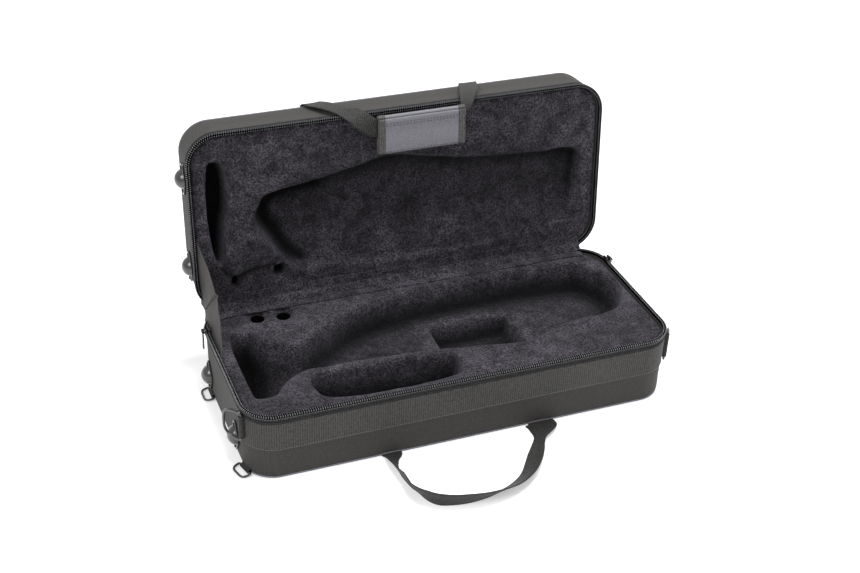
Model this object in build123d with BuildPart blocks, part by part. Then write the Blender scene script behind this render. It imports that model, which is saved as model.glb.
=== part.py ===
from build123d import *
import math
import os

os.makedirs("parts", exist_ok=True)

# Soft trumpet case: a padded tray and lid in a fabric cover, closed by a zip on three sides.
# Millimetres and degrees. X runs along the case, Y from front to back, Z up.
# The origin is the middle of the underside. The lid is modelled open, held by its stay.
LENGTH = 570.0
DEPTH = 243.0
CORNER_R = 40.5
BASE_DEPTH = 97.2          # zip's plane down to the underside
LID_DEPTH = 61.8           # zip's plane up to the lid's outer face
OPEN_ANGLE = 94.2
DRAFT = 0.015              # lean of the walls, per mm away from the zip
EDGE_R = 7.0               # rounded edge round the underside and round the lid's top
WALL = 3.0                 # covered board wall
RIM_DROP = 5.7             # zip's plane to the edge of each board tray
BED_DROP = 6.2             # zip's plane to the plush face of each bed
GLUE_GAP = 0.3             # between tray and bed

COIL_NEAR, COIL_FAR = 0.8, 4.6       # zip coil, measured from the zip's plane
COIL_IN, COIL_OUT = 1.3, 2.1         # and from the wall's face
TAPE_T = 0.9
TAPE_FAR = 13.5
BAND_FAR = 53.6            # lower edge of the ribbed band
BAND_T = 1.2
ZIP_END_X = 258.0          # the zip stops in the rear corners, short of the hinge cover

HINGE_LINE = Vector(0, DEPTH / 2, BASE_DEPTH)
open_rad = math.radians(OPEN_ANGLE)
LID_OUT = Vector(0, math.sin(open_rad), math.cos(open_rad))
hinge_frame = Plane(origin=HINGE_LINE, x_dir=(1, 0, 0), z_dir=LID_OUT)
LID = Plane(origin=hinge_frame.from_local_coords((0, -DEPTH / 2, 0)), x_dir=(1, 0, 0), z_dir=LID_OUT)


def base_level(distance):
    """Level plane at a distance below the zip's plane."""
    return Plane.XY.offset(BASE_DEPTH - distance)


def lid_level(distance):
    """Plane inside the lid at a distance from the zip's plane, in the open lid's frame."""
    return LID.offset(distance)


def lid_point(x, y, distance):
    """World point of a place in the lid, with y as it is when the case is shut."""
    return LID.from_local_coords((x, y, distance))


def outline(distance, grow=0.0):
    """Rounded rectangle of the case's side at a distance from the zip's plane."""
    inset = DRAFT * distance - grow
    RectangleRounded(LENGTH - 2 * inset, DEPTH - 2 * inset, CORNER_R - inset)


def drafted(level, near, far, grow=0.0, mode=Mode.ADD):
    """Solid that follows the leaning side wall between two distances from the zip's plane."""
    with BuildSketch(level(near)) as mouth:
        outline(near, grow)
    with BuildSketch(level(far)) as foot:
        outline(far, grow)
    loft(sections=[mouth.sketch, foot.sketch], mode=mode)


def rim_edges(part, plane):
    """Edges of the part's outermost outline that lie in a plane."""
    flat = [face for face in part.faces() if abs(plane.to_local_coords(face.center()).Z) < 0.01]
    return max(flat, key=lambda face: face.area).outer_wire().edges()


def save(part, name):
    """Name a finished piece and write it."""
    part.label = name
    export_step(part, f"parts/{name}.step")


# ---------------------------------------------------------------- trays and edges

HANDLE_X = (-104.0, 95.0)  # the two ends of the base handle
STRAP_W = 25.0
STRAP_T = 1.8
GROOVE_DEPTH = 2.3
PATCH_BACK = -72.0         # how far the sewn ends run under the case

with BuildPart() as base_shell:
    drafted(base_level, RIM_DROP, BASE_DEPTH)
    fillet(base_shell.edges().group_by(Axis.Z)[0], EDGE_R)
    drafted(base_level, RIM_DROP - 1, BASE_DEPTH - WALL, -WALL, Mode.SUBTRACT)
    fillet(base_shell.edges(Select.LAST).group_by(Axis.Z)[0], EDGE_R - WALL)
    with BuildSketch(Plane.XY):
        for x in HANDLE_X:
            with Locations((x, (PATCH_BACK - DEPTH / 2) / 2)):
                Rectangle(STRAP_W + 2, DEPTH / 2 + PATCH_BACK + 2)
    extrude(amount=GROOVE_DEPTH, mode=Mode.SUBTRACT)
save(base_shell.part, "base_shell")

with BuildPart() as lid_shell:
    drafted(lid_level, RIM_DROP, LID_DEPTH)
    fillet(rim_edges(lid_shell.part, lid_level(LID_DEPTH)), EDGE_R)
    drafted(lid_level, RIM_DROP - 1, LID_DEPTH - WALL, -WALL, Mode.SUBTRACT)
    fillet(rim_edges(lid_shell.part, lid_level(LID_DEPTH - WALL)), EDGE_R - WALL)
save(lid_shell.part, "lid_shell")

PIPING_R = 1.3
PIPING_INSET = EDGE_R * (1 - math.sqrt(0.5))   # the cord sits on the middle of the rounded edge


def piping(level, depth, shell):
    """Piping cord sewn round a tray's rounded outer edge."""
    with BuildPart() as cord:
        with BuildSketch(level(depth - PIPING_INSET)) as path:
            outline(depth, -PIPING_INSET)
        ring = path.sketch.wires()[0]
        start = Plane(origin=ring @ 0, z_dir=ring % 0)
        with BuildSketch(start) as section:
            Circle(PIPING_R)
        sweep(sections=section.sketch, path=ring)
        add(shell, mode=Mode.SUBTRACT)
    return cord.part


with BuildPart() as base_piping:
    add(piping(base_level, BASE_DEPTH, base_shell.part))
    with Locations(*[(x, -DEPTH / 2, 0) for x in HANDLE_X]):
        Box(STRAP_W + 2, 20, 10, mode=Mode.SUBTRACT)
save(base_piping.part, "base_piping")
save(piping(lid_level, LID_DEPTH, lid_shell.part), "lid_piping")

# ---------------------------------------------------------------- zip


def zip_strip(level, near, far, inner, outer):
    """Strip of the zip between two offsets from the wall, round the front, the ends and rear corners."""
    with BuildPart() as strip:
        drafted(level, near, far, outer)
        drafted(level, near - 1, far + 1, inner, Mode.SUBTRACT)
        with BuildSketch(level(near - 1)):
            with Locations((0, DEPTH / 2)):
                Rectangle(2 * ZIP_END_X, DEPTH / 2)
        extrude(amount=far + 2 - near, both=True, mode=Mode.SUBTRACT)
    return strip.part


zip_tape = zip_strip(base_level, COIL_FAR, TAPE_FAR, 0.1, TAPE_T + 0.1)
save(zip_tape, "base_zip_tape")
save(zip_strip(base_level, COIL_NEAR, COIL_FAR, -COIL_IN, COIL_OUT), "base_zip_coil")
save(zip_strip(lid_level, COIL_FAR, TAPE_FAR, 0.1, TAPE_T + 0.1), "lid_zip_tape")
save(zip_strip(lid_level, COIL_NEAR, COIL_FAR, -COIL_IN, COIL_OUT), "lid_zip_coil")

# Slider: an inner and an outer plate joined by a neck that passes between the two coils.
# It is drawn in a frame on the wall: x out of the wall, y along it, z up, centred on the zip's plane.
SLIDER_LEN, SLIDER_TALL, PLATE_T = 11.0, 9.2, 1.0
SLIDER_Y = 79.0            # parked where the end wall's straight run starts
PLATE_GAP = 0.4
NECK_T = 0.9
PIVOT_OUT = 5.8
PIVOT_R = 0.9
PULL_LEN, PULL_W, PULL_T = 27.0, 6.5, 1.6

with BuildPart() as slider:
    inner_x = -(COIL_IN + PLATE_GAP + PLATE_T / 2)
    outer_x = COIL_OUT + PLATE_GAP + PLATE_T / 2
    with Locations((inner_x, 0, 0), (outer_x, 0, 0)):
        Box(PLATE_T, SLIDER_LEN, SLIDER_TALL)
    fillet(slider.edges().filter_by(Axis.X), 2.4)
    with Locations(((inner_x + outer_x) / 2, -3, 0)):
        Box(outer_x - inner_x, 4, NECK_T)
    bridge_len = PIVOT_OUT + PIVOT_R + 0.6 - outer_x
    with Locations((outer_x + bridge_len / 2, -3.6, 0), (outer_x + bridge_len / 2, 3.6, 0)):
        Box(bridge_len, 1.4, 2.4)
    with Locations((PIVOT_OUT, 0, 0)):
        Cylinder(PIVOT_R, 7.2, rotation=(90, 0, 0))

with BuildPart() as pull:
    with BuildSketch(Plane.YZ.offset(PIVOT_OUT - PULL_T / 2)):
        with Locations((0, -PULL_LEN / 2)):
            RectangleRounded(PULL_W - 1.5, PULL_LEN, 2.2)
        with Locations((0, 5 - PULL_LEN)):
            SlotOverall(6, 2.4, rotation=90, mode=Mode.SUBTRACT)
    extrude(amount=PULL_T)
    with Locations((PIVOT_OUT, 0, 0)):
        Cylinder(1.9, PULL_W - 1.5, rotation=(90, 0, 0))
        Cylinder(PIVOT_R + 0.35, PULL_W, rotation=(90, 0, 0), mode=Mode.SUBTRACT)

slider_frames = {
    "left": Plane(origin=(-LENGTH / 2, SLIDER_Y, BASE_DEPTH), x_dir=(-1, 0, 0), z_dir=(0, 0, 1)),
    "right": Plane(origin=(LENGTH / 2, SLIDER_Y, BASE_DEPTH), x_dir=(1, 0, 0), z_dir=(0, 0, 1)),
}
for side, frame in slider_frames.items():
    save(frame.location * slider.part, f"zip_slider_{side}")
    save(frame.location * pull.part, f"zip_pull_{side}")

# ---------------------------------------------------------------- side band

BAND_END_Y = -94.0         # both ends of the band lie round the front corners, under the rings

with BuildPart() as base_side_band:
    drafted(base_level, TAPE_FAR, BAND_FAR, BAND_T)
    drafted(base_level, TAPE_FAR - 1, BAND_FAR + 1, 0.05, Mode.SUBTRACT)
    with BuildSketch(Plane.XY):
        with Locations((0, BAND_END_Y + DEPTH)):
            Rectangle(2 * LENGTH, 2 * DEPTH)
    extrude(amount=BASE_DEPTH, mode=Mode.SUBTRACT)
save(base_side_band.part, "base_side_band")

# ---------------------------------------------------------------- moulded beds

BED_IN = WALL + GLUE_GAP
BED_EDGE_R = 5.0
TOP = BASE_DEPTH - BED_DROP          # height of the base bed's plush face
HORN_Y, HORN_Z = -4.0, 78.0          # line the instrument's horn lies along
BELL_PIT_R = 66.0
BELL_LEFT, BELL_RIGHT = -259.0, -238.0
TRAY_FLOOR = 50.0
VALVE_FLOOR = 24.0
ACCESSORY_FLOOR = 44.0
MOUTHPIECE_HOLES = {"left": (-213.0, 101.0), "right": (-179.0, 97.0)}
SLEEVE_R, SLEEVE_T, SLEEVE_LEN = 8.5, 1.2, 46.0
DIMPLE_R, DIMPLE_ANGLE = 17.0, 110.0
# Outline of the recess for the tubing, from the horn's neck along the front and back again.
RECESS = (
    (-178, -26), (-120, -29), (-60, -34), (10, -41), (95, -56), (160, -35), (215, -30), (254, -16),
    (272, 28), (254, 74), (222, 93), (100, 98), (0, 92), (-90, 74), (-140, 42), (-178, 12),
)
ACCESSORY = (
    (-186, -50), (-176, -92), (-120, -101), (-60, -101), (-4, -94), (-1, -62), (-70, -54),
)

with BuildSketch(Plane.XY) as horn_half:
    with BuildLine():
        Line((BELL_LEFT, 0), (BELL_LEFT, -BELL_PIT_R))
        Line((BELL_LEFT, -BELL_PIT_R), (BELL_RIGHT, -BELL_PIT_R))
        Spline((BELL_RIGHT, -BELL_PIT_R), (-219, -42), (-193, -26), (-150, -20))
        Line((-150, -20), (-60, -18))
        Line((-60, -18), (-60, 0))
        Line((-60, 0), (BELL_LEFT, 0))
    make_face()

with BuildPart() as base_bed:
    drafted(base_level, BED_DROP, BASE_DEPTH - BED_IN, -BED_IN)
    fillet(base_bed.edges().group_by(Axis.Z)[0], EDGE_R - WALL + GLUE_GAP)
    fillet(rim_edges(base_bed.part, base_level(BED_DROP)), BED_EDGE_R)
    # Mouthpiece sockets, each in a shallow dimple.
    with Locations(*[(x, y, TOP) for x, y in MOUTHPIECE_HOLES.values()]):
        CounterSinkHole(SLEEVE_R + SLEEVE_T + 0.2, DIMPLE_R, SLEEVE_LEN + 6, DIMPLE_ANGLE)
    # Pocket for loose things along the front.
    with BuildSketch(Plane.XY.offset(ACCESSORY_FLOOR)):
        with BuildLine():
            FilletPolyline(*ACCESSORY, close=True, radius=8)
        make_face()
    extrude(amount=TOP, mode=Mode.SUBTRACT)
    # Horn-shaped pit: the lower half is turned, the upper half rises straight to the face.
    horn_frame = Plane(origin=(0, HORN_Y, HORN_Z))
    revolve(horn_frame.location * horn_half.sketch, axis=Axis((0, HORN_Y, HORN_Z), (1, 0, 0)), mode=Mode.SUBTRACT)
    with BuildSketch(horn_frame):
        add(horn_half.sketch)
        mirror(about=Plane.XZ)
    extrude(amount=TOP, mode=Mode.SUBTRACT)
    # Recess for the tubing, and the deeper pit for the valves.
    with BuildSketch(Plane.XY.offset(TRAY_FLOOR)):
        with BuildLine():
            Spline(*RECESS, periodic=True)
        make_face()
    extrude(amount=TOP, mode=Mode.SUBTRACT)
    with BuildSketch(Plane.XY.offset(VALVE_FLOOR)):
        with Locations((68, 6)):
            RectangleRounded(108, 100, 16)
    extrude(amount=TOP, mode=Mode.SUBTRACT)
save(base_bed.part, "base_bed")

SLEEVE_TOP = TOP - (DIMPLE_R - SLEEVE_R - SLEEVE_T) / math.tan(math.radians(DIMPLE_ANGLE / 2)) - 0.6
with BuildPart(Plane.XY.offset(SLEEVE_TOP)) as sleeve:
    Cylinder(SLEEVE_R + SLEEVE_T, SLEEVE_LEN, align=(Align.CENTER, Align.CENTER, Align.MAX))
    Hole(SLEEVE_R, SLEEVE_LEN - SLEEVE_T)
for side, (x, y) in MOUTHPIECE_HOLES.items():
    save(Location((x, y, 0)) * sleeve.part, f"mouthpiece_sleeve_{side}")

LID_RECESS_DEPTH = 20.0
LID_BELL = (-249.0, -12.5, -25.0)    # middle of the bell's slot, in the lid's x, y and depth
LID_BELL_R, LID_BELL_W = 72.0, 24.0
LID_RECESS = (
    (-186, -26), (-141, -34), (-87, -42), (-19, -53), (66, -41), (138, -33), (200, -29), (254, -26),
    (258, 4), (250, 62), (228, 77), (100, 78), (-40, 78), (-150, 73), (-184, 55), (-196, 26),
)
LID_DIMPLES = {(-216, 100): 16.0, (-178, 93): 16.0, (58, 31): 8.0, (36, 95): 6.0}

with BuildPart() as lid_pad:
    drafted(lid_level, BED_DROP, LID_DEPTH - BED_IN, -BED_IN)
    fillet(rim_edges(lid_pad.part, lid_level(LID_DEPTH - BED_IN)), EDGE_R - WALL + GLUE_GAP)
    fillet(rim_edges(lid_pad.part, lid_level(BED_DROP)), BED_EDGE_R)
    # Slot for the rim of the bell.
    bell_x, bell_y, bell_h = LID_BELL
    with BuildSketch(Plane(origin=lid_point(bell_x, bell_y, bell_h), x_dir=LID.y_dir, z_dir=(1, 0, 0))):
        Circle(LID_BELL_R)
    extrude(amount=LID_BELL_W / 2, both=True, mode=Mode.SUBTRACT)
    # Broad recess over the instrument.
    with BuildSketch(lid_level(0)):
        with BuildLine():
            Spline(*LID_RECESS, periodic=True)
        make_face()
    extrude(amount=BED_DROP + LID_RECESS_DEPTH, mode=Mode.SUBTRACT)
    # Dimples over the mouthpieces and the ends of the valves.
    for (x, y), radius in LID_DIMPLES.items():
        with BuildSketch(lid_level(0)):
            with Locations((x, y)):
                Circle(radius)
        extrude(amount=BED_DROP + LID_RECESS_DEPTH + 4, mode=Mode.SUBTRACT)
save(lid_pad.part, "lid_pad")

# ---------------------------------------------------------------- feet

FOOT_R, FLANGE_T, FOOT_PROUD = 13.0, 3.0, 12.5
EAR_AT, EAR_R = 16.0, 5.5
BASE_FEET = {"back": 77.0, "front": -57.0}
BASE_FOOT_Z = 30.0
LID_FEET = {"lower": 54.0, "upper": 178.0}   # distance from the hinge
LID_FOOT_H = 31.0

with BuildPart() as foot:
    with BuildSketch(Plane.XY):
        with Locations((-EAR_AT, 0), (EAR_AT, 0)):
            Circle(EAR_R)
        Circle(FOOT_R + 0.5)
        make_hull()
    extrude(amount=FLANGE_T)
    fillet(foot.edges().group_by(Axis.Z)[-1], 1.0)
    cap_r = (FOOT_R**2 + (FOOT_PROUD - FLANGE_T) ** 2) / (2 * (FOOT_PROUD - FLANGE_T))
    with BuildSketch(Plane.XZ):
        with Locations((0, FOOT_PROUD - cap_r)):
            Circle(cap_r)
        with Locations((cap_r, FLANGE_T / 2)):
            Rectangle(4 * cap_r, 4 * cap_r, align=(Align.CENTER, Align.MAX), mode=Mode.SUBTRACT)
        with Locations((-cap_r, 0)):
            Rectangle(2 * cap_r, 4 * cap_r, mode=Mode.SUBTRACT)
    revolve(axis=Axis.Z)

with BuildPart() as screws:
    with Locations((-EAR_AT, 0, FLANGE_T), (EAR_AT, 0, FLANGE_T)):
        Cylinder(2.8, 1.2, align=(Align.CENTER, Align.CENTER, Align.MIN))
    chamfer(screws.edges().group_by(Axis.Z)[-1], 0.5)

wall_lean = math.atan(DRAFT)
base_screws = []
for name, y in BASE_FEET.items():
    inset = DRAFT * (BASE_DEPTH - BASE_FOOT_Z)
    frame = Plane(
        origin=(inset - LENGTH / 2, y, BASE_FOOT_Z),
        x_dir=(-math.sin(wall_lean), 0, math.cos(wall_lean)),
        z_dir=(-math.cos(wall_lean), 0, -math.sin(wall_lean)),
    )
    save(frame.location * foot.part, f"base_foot_{name}")
    base_screws += (frame.location * screws.part).solids()
save(Compound(base_screws), "base_foot_screws")

lid_screws = []
for name, v in LID_FEET.items():
    frame = Plane(
        origin=lid_point(DRAFT * LID_FOOT_H - LENGTH / 2, DEPTH / 2 - v, LID_FOOT_H),
        x_dir=LID.y_dir,
        z_dir=LID.x_dir * -math.cos(wall_lean) + LID.z_dir * math.sin(wall_lean),
    )
    save(frame.location * foot.part, f"lid_foot_{name}")
    lid_screws += (frame.location * screws.part).solids()
save(Compound(lid_screws), "lid_foot_screws")

# ---------------------------------------------------------------- rings and their tabs


def d_ring(bar, depth, wire_r, corner_r):
    """D-ring lying in its own XY plane, bar on Y, pointing along X."""
    straight = max(depth - bar / 2, 2.0)
    with BuildPart() as ring:
        with BuildLine() as path:
            Polyline((straight, -bar / 2), (0, -bar / 2), (0, bar / 2), (straight, bar / 2))
            Spline((straight, bar / 2), (depth, 0), (straight, -bar / 2), tangents=((1, 0), (-1, 0)))
            fillet(path.vertices().group_by(Axis.X)[0], corner_r)
        wire = path.wires()[0]
        with BuildSketch(Plane(origin=wire @ 0, z_dir=wire % 0)) as section:
            Circle(wire_r)
        sweep(sections=section.sketch, path=wire)
    return ring.part


def tab_loop(width, wire_r, webbing_t, foot):
    """Webbing loop round a ring's bar, with the foot that is sewn to the case. Bar on Y at the origin."""
    with BuildPart() as tab:
        with BuildSketch(Plane.XZ):
            with BuildLine():
                Polyline(*foot, close=True)
            make_face()
            Circle(wire_r + 0.25 + webbing_t)
            Circle(wire_r + 0.25, mode=Mode.SUBTRACT)
        extrude(amount=width / 2, both=True)
    return tab.part


# Shoulder strap's rings: one at each front corner, over the end of the ribbed band.
RING_TURN = 36.0           # the ring stands away from the end wall by this angle
RING_OUT, RING_BACK = 43.0, 13.5      # its bar, from the corner's axis: outward, and along the ring
SHOULDER_Z = 70.0
SHOULDER_BAR, SHOULDER_DEPTH, SHOULDER_WIRE = 40.0, 27.0, 1.7
SHOULDER_TAB_W, SHOULDER_TAB_T = 32.0, 1.3
DROOP = 20.0               # the right-hand ring hangs a little

loop_r = SHOULDER_WIRE + 0.25 + SHOULDER_TAB_T
shoulder_foot = ((-loop_r, 0), (-loop_r - 1.2, -6.5), (3.0, -6.5), (3.0, -1.2))
shoulder_tab = tab_loop(SHOULDER_TAB_W, SHOULDER_WIRE, SHOULDER_TAB_T, shoulder_foot)
shoulder_ring = d_ring(SHOULDER_BAR, SHOULDER_DEPTH, SHOULDER_WIRE, 3.5)
for side, sign, droop in (("left", -1, 0.0), ("right", 1, DROOP)):
    turn, drop = math.radians(RING_TURN), math.radians(droop)
    out = Vector(sign * math.cos(turn), -math.sin(turn), 0)
    along = Vector(sign * math.sin(turn), math.cos(turn), 0) * math.cos(drop) - Vector(0, 0, math.sin(drop))
    corner = Vector(sign * (LENGTH / 2 - CORNER_R), CORNER_R - DEPTH / 2, SHOULDER_Z)
    frame = Plane(origin=corner + out * RING_OUT + along * RING_BACK, x_dir=along, z_dir=out)
    seated = frame.location * shoulder_tab - base_shell.part - base_side_band.part - zip_tape
    save(seated.solids().sort_by(SortBy.VOLUME)[-1], f"shoulder_tab_{side}")
    save(frame.location * shoulder_ring, f"shoulder_ring_{side}")

# Rings for the lower ends of backpack straps: under the rounded bottom edge at the left.
BACKPACK_BAR, BACKPACK_DEPTH, BACKPACK_WIRE = 26.0, 11.5, 1.4
BACKPACK_TAB_W, BACKPACK_TAB_T = 18.0, 0.8
BACKPACK_OUT, BACKPACK_Z = 0.6, 3.6      # bar, from the end wall's line and above the ground
BACKPACK_SLOPE = 9.0                     # the ring's nose rests on the ground
BACKPACK_BACK_Y = 72.0
BACKPACK_TURN = 16.0                     # the front ring sits this far round the corner

backpack_foot = ((-6.5, -3.2), (-0.5, -2.2), (0.5, -1.7), (0.5, 1.7), (-1.0, 4.5), (-4.0, 4.5))
backpack_tab = tab_loop(BACKPACK_TAB_W, BACKPACK_WIRE, BACKPACK_TAB_T, backpack_foot)
backpack_ring = Rot(Y=BACKPACK_SLOPE) * d_ring(BACKPACK_BAR, BACKPACK_DEPTH, BACKPACK_WIRE, 1.7)
turn = math.radians(BACKPACK_TURN)
turn_r = CORNER_R + BACKPACK_OUT
backpack_frames = {
    "back": Plane(origin=(-LENGTH / 2 - BACKPACK_OUT, BACKPACK_BACK_Y, BACKPACK_Z), x_dir=(-1, 0, 0)),
    "front": Plane(
        origin=(
            CORNER_R - LENGTH / 2 - turn_r * math.cos(turn),
            CORNER_R - DEPTH / 2 - turn_r * math.sin(turn),
            BACKPACK_Z,
        ),
        x_dir=(-math.cos(turn), -math.sin(turn), 0),
    ),
}
tab_space = Box(14, BACKPACK_TAB_W, 12, mode=Mode.PRIVATE)
edge_cord = base_piping.part
for name, frame in backpack_frames.items():
    seated = frame.location * backpack_tab - base_shell.part
    save(seated.solids().sort_by(SortBy.VOLUME)[-1], f"backpack_tab_{name}")
    save(frame.location * backpack_ring, f"backpack_ring_{name}")
    edge_cord = edge_cord - frame.location * tab_space
save(edge_cord, "base_piping")

# ---------------------------------------------------------------- handles


def ribbon(centres, across):
    """Flat webbing through a run of centres, with the direction across it at each one."""
    sections = []
    with BuildPart() as strap:
        for i, (centre, side) in enumerate(zip(centres, across)):
            ahead = centres[min(i + 1, len(centres) - 1)] - centres[max(i - 1, 0)]
            along = (ahead - side * ahead.dot(side)).normalized()
            with BuildSketch(Plane(origin=centre, x_dir=side, z_dir=along)) as section:
                Rectangle(STRAP_W, STRAP_T)
            sections.append(section.sketch)
        loft(sections=sections, ruled=True)
    return strap.part


with BuildPart() as base_handle_patches:
    patch_len = PATCH_BACK + DEPTH / 2 - 0.7
    for x in HANDLE_X:
        with Locations((x, PATCH_BACK - patch_len / 2, 0.3 + STRAP_T / 2)):
            Box(STRAP_W, patch_len, STRAP_T)
save(base_handle_patches.part, "base_handle_patches")

# The base handle lies in front of the case on its inner edge, leaning outward.
# Each station is x, y, direction of travel and lean away from flat.
BASE_HANDLE = (
    (-104, -122.2, -90, 0), (-106, -131, -98, 8), (-109.5, -141, -96, 28), (-111.5, -158, -88, 46),
    (-110, -180, -85, 58), (-109, -197, -78, 74), (-104, -211, -60, 76), (-96, -223, -50, 74),
    (-84, -233.5, -32, 72), (-67.8, -239.8, -14, 68), (-50.8, -242.9, -7, 65), (-32.7, -243.8, 2, 58),
    (-13.7, -241.8, 11, 51), (4.9, -236.5, 20, 42), (21.4, -229, 30, 37), (39.3, -216, 43, 34),
    (53, -200, 54, 31), (65.1, -182, 58, 30), (77.4, -163, 62, 27), (88, -142, 68, 16),
    (93, -131, 82, 6), (95, -122.2, 90, 0),
)
handle_centres, handle_across = [], []
for x, y, heading, lean in BASE_HANDLE:
    heading, lean = math.radians(heading), math.radians(lean)
    outward = Vector(math.sin(heading), -math.cos(heading), 0)
    handle_across.append(outward * math.cos(lean) + Vector(0, 0, math.sin(lean)))
    lift = (STRAP_W * math.sin(lean) + STRAP_T * math.cos(lean)) / 2
    handle_centres.append(Vector(x, y, 0.3 + lift))
save(ribbon(handle_centres, handle_across), "base_handle")

# The lid handle is sewn to the lid's outer face and flops over its front edge.
LID_HANDLE_X = (-109.0, 113.0)
LID_PATCH_Y = (-60.0, -110.9)
PATCH_LIFT = 0.2
with BuildPart() as patches:
    for x in LID_HANDLE_X:
        with Locations((x, sum(LID_PATCH_Y) / 2, LID_DEPTH + PATCH_LIFT + STRAP_T / 2)):
            Box(STRAP_W, LID_PATCH_Y[0] - LID_PATCH_Y[1], STRAP_T)
save(LID.location * patches.part, "lid_handle_patches")

# Stations: x, distance from the hinge, depth in the lid; then the direction across the webbing.
LID_HANDLE = (
    ((-109, 234.9, 62.9), (1, 0, 0)), ((-108.5, 239.5, 63.8), (1, 0, 0)), ((-107, 244, 60.4), (1, 0, 0.08)),
    ((-103, 246.2, 51), (0.93, 0, 0.37)), ((-96, 248.3, 38), (0.83, 0, 0.55)), ((-87, 249.2, 22), (0.8, 0, 0.6)),
    ((-78, 248.8, 8), (0.78, 0.1, 0.62)), ((-69, 246.6, -4), (0.7, 0.45, 0.55)),
    ((-60, 242, -10.5), (0.5, 0.8, 0.33)), ((-50, 236, -12.5), (0.25, 0.97, 0.05)),
    ((-40, 231.6, -12.5), (0.03, 1, 0)), ((-30, 231, -12.5), (0, 1, 0)), ((70, 231, -12.5), (0, 1, 0)),
    ((80, 231.8, -12.5), (-0.12, 0.99, 0)), ((86, 237, -12), (-0.6, 0.8, 0)), ((90.5, 243.5, -9), (-0.93, 0.35, 0.1)),
    ((94, 247.6, -2), (-0.97, 0.05, 0.25)), ((99, 248.8, 12), (-0.94, 0, 0.34)),
    ((105, 248.4, 30), (-0.95, 0, 0.31)), ((110, 246.6, 48), (-0.98, 0, 0.2)),
    ((112, 244, 60.4), (-1, 0, 0.05)), ((113, 239.5, 63.8), (-1, 0, 0)), ((113, 234.9, 62.9), (-1, 0, 0)),
)
handle_centres, handle_across = [], []
for (x, v, h), (side_x, side_v, side_h) in LID_HANDLE:
    handle_centres.append(lid_point(x, DEPTH / 2 - v, h))
    handle_across.append((LID.x_dir * side_x - LID.y_dir * side_v + LID.z_dir * side_h).normalized())
save(ribbon(handle_centres, handle_across), "lid_handle")

# Padded grip: a leaf behind the webbing and a fold over its upper edge, and a flap in front.
# Drawn across the case, with x down from the fold and y out of the lid.
GRIP_LEFT, GRIP_RIGHT = -40.0, 78.0
FOLD_V, STRAP_H = 243.8, -12.5
LEAF_IN, LEAF_OUT = 1.6, 4.1
LEAF_LEN = 53.0
FLAP_PIVOT = 1.7           # the flap's hinge line, below the end of the fold
grip_frame = Plane(
    origin=lid_point(GRIP_LEFT, DEPTH / 2 - FOLD_V, STRAP_H), x_dir=LID.y_dir, z_dir=LID.x_dir
)
with BuildPart() as grip_wrap:
    with BuildSketch(Plane.XY):
        Circle(LEAF_OUT)
        with Locations((0, LEAF_OUT)):
            Rectangle(LEAF_LEN, LEAF_OUT - LEAF_IN, align=(Align.MIN, Align.MAX))
        Circle(LEAF_IN, mode=Mode.SUBTRACT)
        Rectangle(2 * LEAF_LEN, 2 * LEAF_IN, align=(Align.MIN, Align.CENTER), mode=Mode.SUBTRACT)
        Rectangle(2 * LEAF_LEN, 2 * LEAF_OUT, align=(Align.MIN, Align.MAX), mode=Mode.SUBTRACT)
    extrude(amount=GRIP_RIGHT - GRIP_LEFT)
save(grip_frame.location * grip_wrap.part, "grip_wrap")
with BuildPart() as grip_flap:
    leaf_t = LEAF_OUT - LEAF_IN
    with BuildSketch(Plane.XY):
        with Locations((FLAP_PIVOT, -(LEAF_IN + LEAF_OUT) / 2)):
            Circle(leaf_t / 2)
            Rectangle(LEAF_LEN - FLAP_PIVOT, leaf_t, align=(Align.MIN, Align.CENTER))
    extrude(amount=GRIP_RIGHT - GRIP_LEFT)
save(grip_frame.location * grip_flap.part, "grip_flap")

# ---------------------------------------------------------------- hinge, its covers and the stay

COVER_HALF = 252.0
COVER_T, LINING_T = 0.8, 1.5


def hinge_strip(points, thickness):
    """Strip bent along a path seen from the end of the case, between the two ends of the zip."""
    with BuildPart() as strip:
        with BuildSketch(Plane.YZ):
            with BuildLine() as path:
                Polyline(*points)
            trace(path.line, thickness)
        extrude(amount=COVER_HALF, both=True)
    return strip.part


def lid_section(v, h):
    """Place on the open lid, as (y, z) in the end view."""
    point = lid_point(0, DEPTH / 2 - v, h)
    return (point.Y, point.Z)


cover_y = DEPTH / 2 + COVER_T / 2 + 0.1
save(hinge_strip(((cover_y, 78), (cover_y, 95), lid_section(-0.5, 2), lid_section(-0.5, 20)), COVER_T), "hinge_cover")
lining = ((110, 92.3), (118, 92.8), (121.6, 97.3), lid_section(5, 4.5), lid_section(14, 5.2))
save(hinge_strip(lining, LINING_T), "hinge_lining")

# Bellows stay at the left end: two leaves of one cloth, creased half way between the rims.
STAY_X, STAY_LEAN = -280.5, 0.126
STAY_T = 0.8
STAY_SEAM = 5.0            # distance of its sewn edges from the zip's plane
STAY_TIP_R, STAY_BACK_R = 74.0, 32.0
half_open = math.radians(OPEN_ANGLE / 2)
STAY_RIM = {"base": 100.5, "lid": 99.0}     # its front edge's reach from the hinge


def stay_leaf(level_frame, rim_reach):
    """One leaf, in a tray's frame: from the rim to the crease that halves the open angle."""
    slope = math.hypot(1, STAY_LEAN)
    tip = (DEPTH / 2 - STAY_TIP_R * math.cos(half_open), (STAY_SEAM + STAY_TIP_R * math.sin(half_open)) * slope)
    back = (DEPTH / 2 - STAY_BACK_R * math.cos(half_open), (STAY_SEAM + STAY_BACK_R * math.sin(half_open)) * slope)
    with BuildPart() as leaf:
        with BuildSketch(Plane.XY):
            with BuildLine():
                Polyline((DEPTH / 2 - rim_reach, 0), tip, back, (DEPTH / 2 - STAY_BACK_R, 0), close=True)
            make_face()
        extrude(amount=STAY_T / 2, both=True)
    return level_frame.location * leaf.part


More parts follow.
